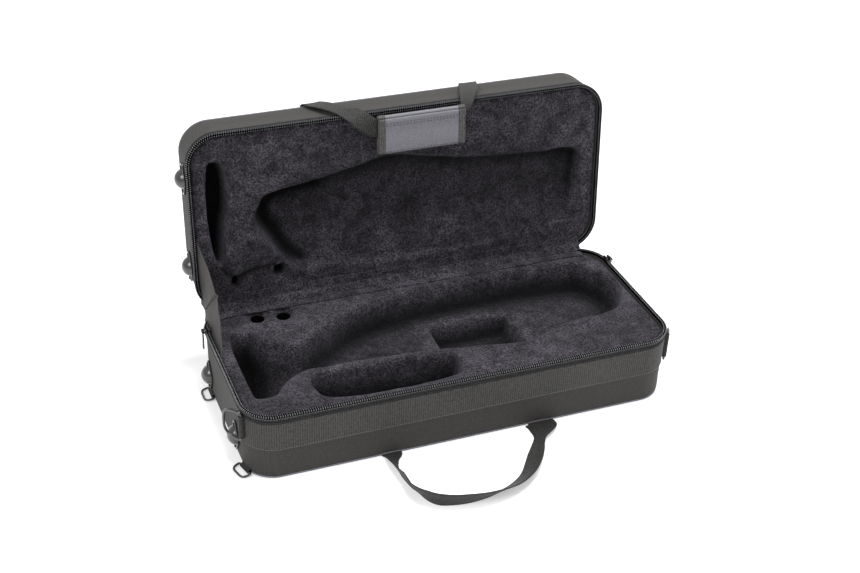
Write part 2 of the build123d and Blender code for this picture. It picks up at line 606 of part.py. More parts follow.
rise = Vector(STAY_LEAN, 0, 1).normalized()
base_leaf = Plane(origin=(STAY_X, 0, BASE_DEPTH - STAY_SEAM), x_dir=(0, 1, 0), z_dir=Vector(0, 1, 0).cross(rise))
lid_rise = (LID.x_dir * STAY_LEAN - LID.z_dir).normalized()
lid_leaf = Plane(origin=lid_point(STAY_X, 0, STAY_SEAM), x_dir=LID.y_dir, z_dir=LID.y_dir.cross(lid_rise))
stay = stay_leaf(base_leaf, STAY_RIM["base"]) + stay_leaf(lid_leaf, STAY_RIM["lid"])
save(stay, "lid_stay")
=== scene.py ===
import math

import bmesh
import bpy
import numpy as np
from mathutils import Matrix, Vector


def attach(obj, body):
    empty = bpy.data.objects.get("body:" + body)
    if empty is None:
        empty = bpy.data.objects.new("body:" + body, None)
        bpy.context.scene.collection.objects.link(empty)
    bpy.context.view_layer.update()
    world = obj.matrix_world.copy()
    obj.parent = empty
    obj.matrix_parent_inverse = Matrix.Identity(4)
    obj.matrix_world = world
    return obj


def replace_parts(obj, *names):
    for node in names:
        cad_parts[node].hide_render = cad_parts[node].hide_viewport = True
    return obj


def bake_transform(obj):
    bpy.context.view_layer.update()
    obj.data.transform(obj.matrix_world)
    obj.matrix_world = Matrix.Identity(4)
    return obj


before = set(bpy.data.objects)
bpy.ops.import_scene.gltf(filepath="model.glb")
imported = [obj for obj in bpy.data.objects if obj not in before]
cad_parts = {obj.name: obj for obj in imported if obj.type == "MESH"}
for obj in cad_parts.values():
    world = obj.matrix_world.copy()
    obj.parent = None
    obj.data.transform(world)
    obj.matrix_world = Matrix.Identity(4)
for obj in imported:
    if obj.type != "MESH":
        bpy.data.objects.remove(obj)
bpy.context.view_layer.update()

# Soft trumpet case, shown open. Sizes are millimetres until a mesh is made.
# "n" is a distance out of the side wall and "d" a distance from the zip's plane, into either half.
LENGTH, DEPTH, CORNER_R = 570.0, 243.0, 40.5
HALF_L, HALF_D = LENGTH / 2, DEPTH / 2
BASE_DEPTH, LID_DEPTH = 97.2, 61.8
OPEN_ANGLE = math.radians(94.2)
DRAFT = 0.015  # the walls lean in by this much for each millimetre of d
EDGE_R, WALL_T = 7.0, 3.0  # rounding of the outer edges, and thickness of the covered board
RIM_DROP = 5.7  # d of the walls' rims, behind the zip
BED_DROP, BED_IN, BED_EDGE_R = 6.2, 3.3, 5.0  # d of the plush beds' flats, their inset and rolled edge
BED_TOP = BASE_DEPTH - BED_DROP
STRAP_W, STRAP_T = 25.0, 1.8
BASE_HANDLE_X = (-104.0, 95.0)  # middles of the base handle's sewn ends
# Real teeth are about 2.4 mm apart and real ribs about 2.1 mm. Both are too fine to show in the render,
# so they are drawn as coarse as they need to be.
TOOTH_PITCH, RIB_PITCH = 2.9, 3.0
SEED = 11


def new_object(name, data):
    """Object of that data in the scene."""
    made = bpy.data.objects.new(name, data)
    bpy.context.scene.collection.objects.link(made)
    return made


# ---------------------------------------------------------------- camera

CAMERA_AT = (-0.6072, -1.4785, 1.1579)  # metres
CAMERA_AHEAD = (0.3163, 0.7856, -0.5317)
CAMERA_ROLL = 0.0346
LENS, SENSOR = 61.9, 36.0


def set_camera():
    """The camera stands above the front left corner and looks down along the case."""
    ahead = Vector(CAMERA_AHEAD).normalized()
    right = ahead.cross(Vector((0, 0, 1))).normalized()
    up = right.cross(ahead)
    side = right * math.cos(CAMERA_ROLL) + up * math.sin(CAMERA_ROLL)
    top = up * math.cos(CAMERA_ROLL) - right * math.sin(CAMERA_ROLL)
    data = bpy.data.cameras.new("camera")
    data.sensor_width = SENSOR
    data.lens = LENS
    camera = new_object("camera", data)
    place = Matrix((side, top, -ahead)).transposed().to_4x4()
    place.translation = Vector(CAMERA_AT)
    camera.matrix_world = place
    bpy.context.scene.camera = camera


set_camera()

# ---------------------------------------------------------------- materials


def colour(code):
    """Linear colour of an sRGB hex value."""
    parts = [int(code[i : i + 2], 16) / 255 for i in (1, 3, 5)]
    return [c / 12.92 if c <= 0.04045 else ((c + 0.055) / 1.055) ** 2.4 for c in parts] + [1.0]


def add(tree, kind, feeds=None, **settings):
    """Adds a node with its settings; feeds maps an input to a value or to the socket that drives it."""
    made = tree.nodes.new(kind)
    for key, value in settings.items():
        setattr(made, key, value)
    for key, value in (feeds or {}).items():
        if isinstance(value, bpy.types.NodeSocket):
            tree.links.new(value, made.inputs[key])
        else:
            made.inputs[key].default_value = value
    return made


def start_finish(name, hexcode, roughness, **shader):
    """A material with its shader, and the node tree to draw its pattern in."""
    material = bpy.data.materials.new(name)
    material.use_nodes = True
    tree = material.node_tree
    skin = tree.nodes["Principled BSDF"]
    skin.inputs["Base Color"].default_value = colour(hexcode)
    skin.inputs["Roughness"].default_value = roughness
    for key, value in shader.items():
        skin.inputs[key.replace("_", " ")].default_value = value
    return material, tree, skin


def end_finish(tree, skin, height, relief_mm, strength, share=None, tones=()):
    """Drives a finish's relief, and its colour between two tones, from patterns between 0 and 1."""
    if tones:
        mix = add(tree, "ShaderNodeMix", data_type="RGBA")
        mix.inputs[6].default_value, mix.inputs[7].default_value = (colour(tone) for tone in tones)
        tree.links.new(share, mix.inputs[0])
        tree.links.new(mix.outputs[2], skin.inputs["Base Color"])
    feeds = {"Height": height, "Distance": relief_mm / 1000, "Strength": strength}
    bump = add(tree, "ShaderNodeBump", feeds)
    tree.links.new(bump.outputs["Normal"], skin.inputs["Normal"])


def plush_finish():
    """Short-pile plush: black tufts that catch light one by one, in brushed patches, with a soft sheen and
    painted shade in its hollows.
    """
    name, sheen = "plush_pile", {"Sheen_Weight": 0.22, "Sheen_Roughness": 0.4}
    material, tree, skin = start_finish(name, "#101012", 0.95, **sheen)
    skin.inputs["Sheen Tint"].default_value = colour("#a5a2aa")
    skin.inputs["Specular IOR Level"].default_value = 0.1
    where = add(tree, "ShaderNodeTexCoord").outputs["Object"]
    # Brushed patches are about 17 mm across and tufts about 2.3 mm. Some patches lie flat and dark.
    feeds = {"Vector": where, "Scale": 60.0, "Detail": 5.0, "Roughness": 0.68, "Distortion": 0.7}
    patches = add(tree, "ShaderNodeTexNoise", feeds).outputs["Fac"]
    feeds = {"Vector": where, "Scale": 430.0, "Detail": 2.0, "Roughness": 0.75}
    tufts = add(tree, "ShaderNodeTexNoise", feeds).outputs["Fac"]
    feeds = {"Value": patches, "From Min": 0.33, "From Max": 0.6, "To Min": 0.3}
    lying = add(tree, "ShaderNodeMapRange", feeds)
    tips = add(tree, "ShaderNodeMapRange", {"Value": tufts, "From Min": 0.33, "From Max": 0.7})
    both = add(tree, "ShaderNodeMath", {0: lying.outputs[0], 1: tips.outputs[0]}, operation="MULTIPLY")
    # Painted shade: the point attribute hollow darkens the pile nearly to black in the beds' hollows and
    # recesses.
    hollow = add(tree, "ShaderNodeAttribute", attribute_name="hollow").outputs["Fac"]
    unshaded_share = add(tree, "ShaderNodeMapRange", {"Value": hollow, "To Min": 1.0, "To Max": 0.06})
    # Stretches about 77 mm long have been handled more than others.
    feeds = {"Vector": where, "Scale": 13.0, "Detail": 3.0, "Roughness": 0.6, "Distortion": 0.4}
    wide = add(tree, "ShaderNodeTexNoise", feeds).outputs["Fac"]
    feeds = {"Value": wide, "From Min": 0.36, "From Max": 0.6, "To Min": 0.6}
    wide = add(tree, "ShaderNodeMapRange", feeds)
    # Painted shade from the hollows, times the handled stretches' wear.
    shade_and_wear = add(tree, "ShaderNodeMath", {0: unshaded_share.outputs[0], 1: wide.outputs[0]}, operation="MULTIPLY")
    both = add(tree, "ShaderNodeMath", {0: both.outputs[0], 1: shade_and_wear.outputs[0]}, operation="MULTIPLY")
    height = add(tree, "ShaderNodeMath", {0: patches, 1: 1.2, 2: tufts}, operation="MULTIPLY_ADD")
    end_finish(tree, skin, height.outputs[0], 2.2, 0.9, both.outputs[0], ("#040405", "#5f5b63"))
    return material


def woven_finish(name, dark, light, thread_mm, roughness=0.8, relief=0.25):
    """Plain weave of polyester or nylon: threads that only show as an even grain at arm's length."""
    material, tree, skin = start_finish(name, dark, roughness, Sheen_Weight=0.06)
    skin.inputs["Specular IOR Level"].default_value = 0.25
    where = add(tree, "ShaderNodeTexCoord").outputs["Object"]
    # A plain weave repeats about every two threads. Its crests are faint under a grain about 1 mm wide.
    waves = []
    feeds = {"Vector": where, "Scale": 500.0 / (math.pi * thread_mm), "Distortion": 1.2, "Detail": 1.0}
    for direction in ("X", "Y", "Z"):
        waves.append(add(tree, "ShaderNodeTexWave", feeds, bands_direction=direction).outputs["Fac"])
    grid = add(tree, "ShaderNodeMath", {0: waves[0], 1: waves[1]}, operation="ADD")
    grid = add(tree, "ShaderNodeMath", {0: grid.outputs[0], 1: waves[2]}, operation="ADD")
    feeds = {"Vector": where, "Scale": 900.0, "Detail": 4.0, "Roughness": 0.75}
    grain = add(tree, "ShaderNodeTexNoise", feeds)
    feeds = {0: grid.outputs[0], 1: 0.05, 2: grain.outputs["Fac"]}
    share = add(tree, "ShaderNodeMath", feeds, operation="MULTIPLY_ADD").outputs[0]
    soft = add(tree, "ShaderNodeMapRange", {"Value": share, "From Min": 0.3, "From Max": 0.86})
    end_finish(tree, skin, share, relief, 0.6, soft.outputs[0], (dark, light))
    return material


def strap_finish(name, dark, light, pitch_mm, roughness=0.6, across=False, relief=0.35, gloss=0.3):
    """Narrow weave in ribs, straight across or slanting to both sides, read from the piece's own map."""
    row_mm, slant_width = 1.5, 0.006
    material, tree, skin = start_finish(name, dark, roughness, Sheen_Weight=gloss / 5)
    skin.inputs["Specular IOR Level"].default_value = gloss
    flat = add(tree, "ShaderNodeUVMap", uv_map="UVMap").outputs["UV"]
    flat = add(tree, "ShaderNodeSeparateXYZ", {"Vector": flat})
    turn = 2000 * math.pi / pitch_mm
    phase = add(tree, "ShaderNodeMath", {0: flat.outputs[0], 1: turn}, operation="MULTIPLY")
    if not across:
        fold = add(tree, "ShaderNodeMath", {0: flat.outputs[1], 1: slant_width}, operation="PINGPONG")
        feeds = {0: fold.outputs[0], 1: turn, 2: phase.outputs[0]}
        phase = add(tree, "ShaderNodeMath", feeds, operation="MULTIPLY_ADD")
    rib = add(tree, "ShaderNodeMath", {0: phase.outputs[0]}, operation="SINE")
    feeds = {0: flat.outputs[1], 1: 2000 * math.pi / row_mm}
    rows = add(tree, "ShaderNodeMath", feeds, operation="MULTIPLY")
    rows = add(tree, "ShaderNodeMath", {0: rows.outputs[0]}, operation="SINE")
    feeds = {0: rows.outputs[0], 1: 0.4, 2: rib.outputs[0]}
    height = add(tree, "ShaderNodeMath", feeds, operation="MULTIPLY_ADD")
    # Wear breaks the ribs up in spots about 2.4 mm wide.
    where = add(tree, "ShaderNodeTexCoord").outputs["Object"]
    feeds = {"Vector": where, "Scale": 420.0, "Detail": 3.0, "Roughness": 0.7}
    worn = add(tree, "ShaderNodeTexNoise", feeds).outputs["Fac"]
    feeds = {"Value": worn, "From Min": 0.3, "From Max": 0.7, "To Min": -1.3, "To Max": 1.3}
    worn = add(tree, "ShaderNodeMapRange", feeds)
    height = add(tree, "ShaderNodeMath", {0: height.outputs[0], 1: worn.outputs[0]}, operation="ADD")
    feeds = {"Value": height.outputs[0], "From Min": -1.7, "From Max": 1.7}
    height = add(tree, "ShaderNodeMapRange", feeds).outputs[0]
    end_finish(tree, skin, height, relief, 0.7, height, (dark, light))
    return material


def coated_finish(name, hexcode, roughness, metallic=0.0, coat=0.0, gloss=0.5):
    """Smooth hard surface with a little unevenness, so that its highlight isn't perfect."""
    material, tree, skin = start_finish(name, hexcode, roughness, Metallic=metallic, Coat_Weight=coat)
    skin.inputs["Coat Roughness"].default_value = 0.15
    skin.inputs["Specular IOR Level"].default_value = gloss
    where = add(tree, "ShaderNodeTexCoord").outputs["Object"]
    noise = add(tree, "ShaderNodeTexNoise", {"Vector": where, "Scale": 300.0, "Detail": 3.0})
    end_finish(tree, skin, noise.outputs["Fac"], 0.02, 0.5)
    return material


# Each comment says what the finish gives the eye.
FINISH = {
    # Mottled near-black with grey tips, with painted shade that darkens the hollows.
    "plush": plush_finish(),
    # Dull charcoal with an even grain.
    "shell_fabric": woven_finish("polyester_canvas", "#131312", "#474543", 1.3, relief=0.45),
    # The same charcoal, finer and a little lighter.
    "stay_cloth": woven_finish("stay_canvas", "#212020", "#4c4a48", 0.9),
    # Mid grey with a slight shine, the lightest cloth of the case.
    "grip_cloth": woven_finish("padded_nylon", "#434348", "#86868d", 1.1, 0.55, 0.3),
    # Upright ribs whose crests catch the light.
    "ribbed_band": strap_finish("grosgrain_band", "#131312", "#494745", RIB_PITCH, 0.7, True, 0.6),
    # Flat black edge beside the teeth, nearly without gloss.
    "zip_tape": strap_finish("zip_tape_twill", "#080809", "#38383a", 2.6, 0.7, gloss=0.15),
    # Black cord that reflects nothing, as painted shade that keeps the gaps between teeth dark.
    "zip_cord": coated_finish("zip_cord", "#030303", 0.9, gloss=0.0),
    # Fine dark ribs round the grip's ends.
    "binding": strap_finish("grip_binding", "#1b1b1a", "#5c5b59", 2.4, 0.7, True, 0.5),
    # Black webbing with a slanting rib, duller than nylon.
    "webbing": strap_finish("polypropylene_webbing", "#020202", "#363534", 3.6, 0.55, relief=0.6, gloss=0.2),
    # Light grey line that outlines the case.
    "piping": strap_finish("bias_binding", "#5c5c63", "#8a8a92", 1.8, 0.4),
    # Teeth lightened to mid grey, a painted highlight over dark nylon, with small real highlights from their
    # gloss.
    "zip_coil": coated_finish("nylon_coil", "#656569", 0.25, coat=0.3),
    # Glossy black enamel on a zinc casting.
    "zip_metal": coated_finish("enamelled_zinc", "#101012", 0.3, coat=0.6),
    # Glossy black enamel on bent wire, with a long highlight.
    "ring_metal": coated_finish("enamelled_steel", "#0e0e10", 0.28, coat=0.6),
    # Shiny dark domes with one clear highlight.
    "foot_rubber": coated_finish("moulded_rubber", "#1b1b1e", 0.2, coat=0.6),
    # Dark metal that glints at its edges.
    "screw_metal": coated_finish("blackened_screw", "#1c1c1e", 0.35, metallic=0.8),
    # Polished black, as a dark hole with a bright rim.
    "sleeve_plastic": coated_finish("polished_plastic", "#0b0b0d", 0.12),
    # Mid grey stitches that show on the black cloth.
    "thread": coated_finish("sewing_thread", "#6e6d6b", 0.6),
    # Dark stitches that show on the grey grip.
    "grip_thread": coated_finish("grip_thread", "#2a2a2c", 0.6),
}

# ---------------------------------------------------------------- making meshes


def turn_outward(mesh):
    """Makes a closed mesh's faces point outwards."""
    work = bmesh.new()
    work.from_mesh(mesh)
    bmesh.ops.recalc_face_normals(work, faces=work.faces)
    work.to_mesh(mesh)
    work.free()


def make_piece(name, points, faces, finish, uv=None, sharp=35.0):
    """Mesh from points in millimetres, its faces outwards, at the origin."""
    mesh = bpy.data.meshes.new(name)
    mesh.from_pydata((np.asarray(points).reshape(-1, 3) / 1000).tolist(), [], faces)
    if uv is not None:
        layer = mesh.uv_layers.new(name="UVMap")
        layer.data.foreach_set("uv", np.asarray(uv, np.float32).ravel())
    turn_outward(mesh)
    mesh.shade_smooth()
    mesh.set_sharp_from_angle(angle=math.radians(sharp))
    mesh.materials.append(FINISH[finish])
    piece = new_object(name, mesh)
    return piece


def skin_over(name, grid, finish, loop=False, sharp=35.0):
    """Closed skin over a grid of points: rows run along it, and each row is a ring."""
    rows, ring = grid.shape[:2]
    along = np.arange(rows if loop else rows - 1)
    a, b = np.meshgrid(along, np.arange(ring), indexing="ij")
    a2, b2 = (a + 1) % rows, (b + 1) % ring
    faces = np.stack([a * ring + b, a2 * ring + b, a2 * ring + b2, a * ring + b2], -1).reshape(-1, 4)
    step_u = np.linalg.norm(grid - np.roll(grid, 1, 0), axis=2).mean(1)
    step_v = np.linalg.norm(grid - np.roll(grid, 1, 1), axis=2).mean(0)
    run_u = np.concatenate([[0], np.cumsum(np.roll(step_u, -1))]) / 1000
    run_v = np.concatenate([[0], np.cumsum(np.roll(step_v, -1))]) / 1000
    corners = [(a, b), (a + 1, b), (a + 1, b + 1), (a, b + 1)]
    uv = np.stack([np.stack([run_u[i], run_v[j]], -1) for i, j in corners], 2).reshape(-1, 2)
    faces = faces.tolist()
    if not loop:
        faces.append(list(range(ring)))
        faces.append([(rows - 1) * ring + k for k in range(ring)])
        uv = np.concatenate([uv, np.zeros((2 * ring, 2))])
    return make_piece(name, grid, faces, finish, uv, sharp)


def plan_table():
    """Distance, place and facing round the case's plan, clockwise from the middle of the back."""
    turns, middles = [90.0], [(0, HALF_D - CORNER_R)]
    for k, (sx, sy) in enumerate([(1, 1), (1, -1), (-1, -1), (-1, 1)]):
        turns += list(np.linspace(90 - 90 * k, -90 * k, 33))
        middles += [(sx * (HALF_L - CORNER_R), sy * (HALF_D - CORNER_R))] * 33
    turns, middles = np.radians(turns + [-270.0]), np.array(middles + [(0, HALF_D - CORNER_R)])
    x = middles[:, 0] + CORNER_R * np.cos(turns)
    y = middles[:, 1] + CORNER_R * np.sin(turns)
    run = np.concatenate([[0], np.cumsum(np.hypot(np.diff(x), np.diff(y)))])
    return run, x, y, turns


RUN, RUN_X, RUN_Y, RUN_TURN = plan_table()
ROUND = RUN[-1]
ZIP_END_X = 258.0  # the zip ends this far along the back, in the rounded corners
ZIP_START = HALF_L - CORNER_R + CORNER_R * math.asin((ZIP_END_X - HALF_L + CORNER_R) / CORNER_R)


def on_wall(s, n, d):
    """Places at distance s round the plan, n out of the wall and d from the zip's plane, as x, y, d."""
    x, y, turn = (np.interp(s, RUN, t) for t in (RUN_X, RUN_Y, RUN_TURN))
    out = n - DRAFT * d
    return np.stack(np.broadcast_arrays(x + out * np.cos(turn), y + out * np.sin(turn), d + 0 * x), -1)


def in_base(p):
    """World place of a point given as x, y, d in the base."""
    p = np.asarray(p, float)
    return np.stack([p[..., 0], p[..., 1], BASE_DEPTH - p[..., 2]], -1)


def in_lid(p):
    """World place of a point given as x, y, d in the lid, with y as it is when the case is shut."""
    p = np.asarray(p, float)
    v = HALF_D - p[..., 1]
    y = HALF_D - math.cos(OPEN_ANGLE) * v + math.sin(OPEN_ANGLE) * p[..., 2]
    z = BASE_DEPTH + math.sin(OPEN_ANGLE) * v + math.cos(OPEN_ANGLE) * p[..., 2]
    return np.stack([p[..., 0], y, z], -1)


def wavy(points, length, seed):
    """Smooth unevenness, mostly between -1 and 1, whose waves are near that length."""
    random = np.random.default_rng(seed)
    total = 0
    for _ in range(9):
        way = random.normal(size=3)
        way *= 2 * math.pi / (np.linalg.norm(way) * length * random.uniform(0.7, 1.6))
        total = total + np.sin(points @ way + random.uniform(0, 6.28))
    return total / 4


RUN_STEP = 2.5  # distance between the rings of a strip that runs round the wall


def wall_strip(name, profile, finish, place, body, wave=0.0):
    """Strip with a closed profile of (n, d), run round the wall from one end of the zip to the other."""
    start, stop = ZIP_START, ROUND - ZIP_START
    s = np.linspace(start, stop, int((stop - start) / RUN_STEP) + 1)
    grid = np.stack([on_wall(s, n, d) for n, d in profile], 1)
    if wave:
        grid[..., :2] += wave * wavy(grid, 45, SEED + len(name))[..., None] * 0.5
    piece = skin_over(name, place(grid), finish)
    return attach(piece, body)


def rounded_bar(n0, n1, d0, d1, cut=0.4):
    """Closed (n, d) profile of a flat strip with softened corners."""
    middle = (d0 + d1) / 2
    return [(n0, d0 + cut), (n0 + cut, d0), (n1 - cut, d0), (n1, d0 + cut), (n1, middle),
            (n1, d1 - cut), (n1 - cut, d1), (n0 + cut, d1), (n0, d1 - cut), (n0, middle)]


def dished(name, place, finish, n0, d0, step, turns, depth, profile, sharp=35.0, snap=(), shade=None):
    """Moulded form: depths inside the outline at (n0, d0), then rings along a profile of (n, d).

    The last ring is closed. snap lists circles that nearby points move onto, and shade gives each point's
    painted shade, how far it lies in a hollow, kept as the point attribute hollow.
    """
    a, b, r = HALF_L - DRAFT * d0 + n0, HALF_D - DRAFT * d0 + n0, CORNER_R - DRAFT * d0 + n0
    arc = b - r + r * np.sin(np.linspace(0, math.pi / 2, turns + 1))
    middle = np.linspace(-(b - r), b - r, int(2 * (b - r) / step) + 1)
    y = np.concatenate([-arc[:0:-1], middle, arc[1:]])
    reach = a - r + np.sqrt(np.maximum(r**2 - np.maximum(np.abs(y) - (b - r), 0) ** 2, 0))
    t = np.linspace(-1, 1, int(2 * a / step) + 1)
    x, y = t[None, :] * reach[:, None], np.repeat(y[:, None], len(t), 1)
    for cx, cy, radius in snap:
        away = np.hypot(x - cx, y - cy)
        near = np.abs(away - radius) < 0.75
        pull = np.where(near, radius / np.maximum(away, 0.1), 1.0)
        x, y = cx + (x - cx) * pull, cy + (y - cy) * pull
    rows, cols = x.shape
    points = [np.stack([x, y, depth(x, y)], -1).reshape(-1, 3)]
    i, j = np.meshgrid(np.arange(rows - 1), np.arange(cols - 1), indexing="ij")
    k = i * cols + j
    faces = np.stack([k, k + 1, k + cols + 1, k + cols], -1).reshape(-1, 4).tolist()
    edge = np.concatenate([np.arange(cols), cols * np.arange(1, rows) + cols - 1,
                           (rows - 1) * cols + np.arange(cols - 2, -1, -1), cols * np.arange(rows - 2, 0, -1)])
    ex, ey = x.ravel()[edge], y.ravel()[edge]
    nx, ny = ex - np.clip(ex, r - a, a - r), ey - np.clip(ey, r - b, b - r)
    size = np.hypot(nx, ny)
    nx, ny = nx / size, ny / size
    before, count = edge, rows * cols
    for n, d in profile:
        out = n - n0 - DRAFT * (d - d0)
        points.append(np.stack([ex + nx * out, ey + ny * out, np.full(len(ex), d)], -1))
        here = count + np.arange(len(edge))
        faces += np.stack([before, np.roll(before, -1), np.roll(here, -1), here], -1).tolist()
        before, count = here, count + len(edge)
    faces.append(before.tolist())
    piece = make_piece(name, place(np.concatenate(points)), faces, finish, None, sharp)
    # Painted shade: the attribute hollow tells the plush finish how dark each point is painted.
    if shade is not None:
        held = np.concatenate([shade(x, y).ravel(), np.zeros(count - rows * cols)])
        piece.data.attributes.new("hollow", "FLOAT", "POINT").data.foreach_set("value", held.astype(np.float32))
    return piece


# ---------------------------------------------------------------- trays


def groove(x, y):
    """Depth of the base's underside, with the two shallow grooves for the sewn ends of the handle."""
    half, back, deep = STRAP_W / 2 + 1, -71, 2.3
    cut = sum((np.abs(x - at) < half) & (y < back) for at in BASE_HANDLE_X)
    # The cloth only bulges inwards, so that nothing dips below the floor.
    slack = np.maximum(1 + wavy(np.stack([x, y, 0 * x], -1), 70, SEED), 0)
    return BASE_DEPTH - deep * cut - 0.25 * slack * (np.hypot(x / HALF_L, y / HALF_D) < 0.8)


def crown(x, y):
    """Depth of the lid's outer face, a little uneven over its padding."""
    away = np.minimum(np.minimum(HALF_L - np.abs(x), HALF_D - np.abs(y)) / 25, 1)
    return LID_DEPTH - 0.3 * (1 - wavy(np.stack([x, y, 0 * x], -1), 80, SEED + 3)) * away


def tray(name, node, place, body, depth_at, total):
    """Fabric-covered board tray: its outer face, rounded edge, wall, rim and inner side."""
    # The rounded edge, as degrees and a dip: a narrow crease lies between the piping and the wall.
    turns = ((15, 0), (30, 0), (42, 0), (60, 0), (64, 1.1), (69, 1.1), (73, 0), (81, 0), (90, 0))
    corner = []
    for degrees, dip in turns:
        q = math.radians(degrees)
        corner.append((-EDGE_R + (EDGE_R - dip) * math.sin(q), total - EDGE_R + (EDGE_R - dip) * math.cos(q)))
    wall = [(0.0, d) for d in np.linspace(total - EDGE_R - 6, RIM_DROP + 2, 7)]
    rim = [(0.0, RIM_DROP + 0.6), (-0.5, RIM_DROP), (0.5 - WALL_T, RIM_DROP), (-WALL_T, RIM_DROP + 0.6)]
    inner = [(-WALL_T, total - WALL_T)]
    profile = corner + wall + rim + inner
    piece = dished(name, place, "shell_fabric", -EDGE_R, total, 4.0, 14, depth_at, profile)
    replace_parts(piece, node)
    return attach(piece, body)


tray("base_cover", "base_shell", in_base, "base", groove, BASE_DEPTH)
tray("lid_cover", "lid_shell", in_lid, "lid", crown, LID_DEPTH)

PIPING_R = 1.4
PIPING_IN = EDGE_R * (1 - math.sqrt(0.5))


def edge_piping(name, node, place, body, total, gaps, over=()):
    """Cord in a binding, sewn round the edge: left out where tabs cross it, and lifted over the straps."""
    n0, d0 = 0.25 - PIPING_IN, 0.25 + total - PIPING_IN
    turns = np.linspace(0, 2 * math.pi, 11)[:-1]
    loop = [(n0 + PIPING_R * math.cos(q), d0 + PIPING_R * math.sin(q)) for q in turns]
    cuts = sorted(gaps)
    runs = []
    for i, (_, stop) in enumerate(cuts):
        runs.append((stop, cuts[(i + 1) % len(cuts)][0] + (ROUND if i + 1 == len(cuts) else 0)))
    pieces = []
    for i, (start, stop) in enumerate(runs or [(0.0, ROUND)]):
        s = np.linspace(start, stop, int((stop - start) / RUN_STEP) + 1)
        lift = sum(1.1 * np.exp(-(((s % ROUND - at) / 14) ** 4)) for at in over) + 0 * s
        grid = np.stack([on_wall(s % ROUND, n, d - lift) for n, d in loop], 1)
        if not gaps:
            grid = grid[:-1]
        piece = skin_over(f"{name}_{i}" if gaps else name, place(grid), "piping", not gaps)
        pieces.append(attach(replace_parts(piece, node), body))
    return pieces


def run_at(x, y):
    """Distance round the plan of the wall's nearest point to (x, y)."""
    fine = np.arange(0, ROUND, 0.5)
    away = np.hypot(np.interp(fine, RUN, RUN_X) - x, np.interp(fine, RUN, RUN_Y) - y)
    return float(fine[np.argmin(away)])


def gap_at(x, y, half):
    """Stretch of the plan left out round a place."""
    return (run_at(x, y) - half, run_at(x, y) + half)


# The backpack tabs leave the left end: one at this y, and one this far round the front corner.
BACK_TAB_Y, TAB_TURN = 72.0, math.radians(16)
TAB_STAND, TAB_Z = 0.6, 3.6  # the tabs' place off the wall and above the table
TAB_GAP = 9.4  # half the gap that the piping leaves for a tab
TAB_FRONT = (CORNER_R - HALF_L - (CORNER_R + TAB_STAND) * math.cos(TAB_TURN),
             CORNER_R - HALF_D - (CORNER_R + TAB_STAND) * math.sin(TAB_TURN))
crossings = [gap_at(-HALF_L, BACK_TAB_Y, TAB_GAP), gap_at(*TAB_FRONT, TAB_GAP)]
strap_runs = [run_at(x, -HALF_D) for x in BASE_HANDLE_X]
edge_piping("base_edge_piping", "base_piping", in_base, "base", BASE_DEPTH, crossings, strap_runs)
edge_piping("lid_edge_piping", "lid_piping", in_lid, "lid", LID_DEPTH, [])

# ---------------------------------------------------------------- zip, band and stitches


def row_tree():
    """Even row of rounded beads along a path: teeth of the coil, or stitches."""
    tree = bpy.data.node_groups.new("row_along_path", "GeometryNodeTree")
    inputs = {"Path": "Geometry", "Pitch": "Float", "Bead": "Vector", "Unevenness": "Float",
              "Finish": "Material"}
    for label, kind in inputs.items():
        tree.interface.new_socket(label, in_out="INPUT", socket_type="NodeSocket" + kind)
    tree.interface.new_socket("Row", in_out="OUTPUT", socket_type="NodeSocketGeometry")
    into = add(tree, "NodeGroupInput").outputs
    path = add(tree, "GeometryNodeMeshToCurve", {"Mesh": into["Path"]})
    path = add(tree, "GeometryNodeSetCurveNormal", {"Curve": path.outputs[0]}, mode="Z_UP")
    feeds = {"Curve": path.outputs[0], "Length": into["Pitch"]}
    spots = add(tree, "GeometryNodeCurveToPoints", feeds, mode="LENGTH").outputs
    bead = add(tree, "GeometryNodeMeshUVSphere", {"Segments": 8, "Rings": 5, "Radius": 0.5})
    bead = add(tree, "GeometryNodeTransform", {"Geometry": bead.outputs["Mesh"], "Scale": into["Bead"]})
    vary = add(tree, "FunctionNodeRandomValue", {"Seed": SEED}, data_type="FLOAT")
    for bound, operation in ((2, "SUBTRACT"), (3, "ADD")):
        spread = add(tree, "ShaderNodeMath", {0: 1.0, 1: into["Unevenness"]}, operation=operation)
        tree.links.new(spread.outputs[0], vary.inputs[bound])
    feeds = {"Points": spots["Points"], "Instance": bead.outputs[0], "Rotation": spots["Rotation"]}
    beads = add(tree, "GeometryNodeInstanceOnPoints", {**feeds, "Scale": vary.outputs[1]})
    solid = add(tree, "GeometryNodeRealizeInstances", {"Geometry": beads.outputs[0]})
    smooth = add(tree, "GeometryNodeSetShadeSmooth", {"Geometry": solid.outputs[0]})
    feeds = {"Geometry": smooth.outputs[0], "Material": into["Finish"]}
    done = add(tree, "GeometryNodeSetMaterial", feeds)
    add(tree, "NodeGroupOutput", {"Row": done.outputs[0]})
    return tree


ROW = row_tree()
BEAD_UNEVENNESS = 0.06


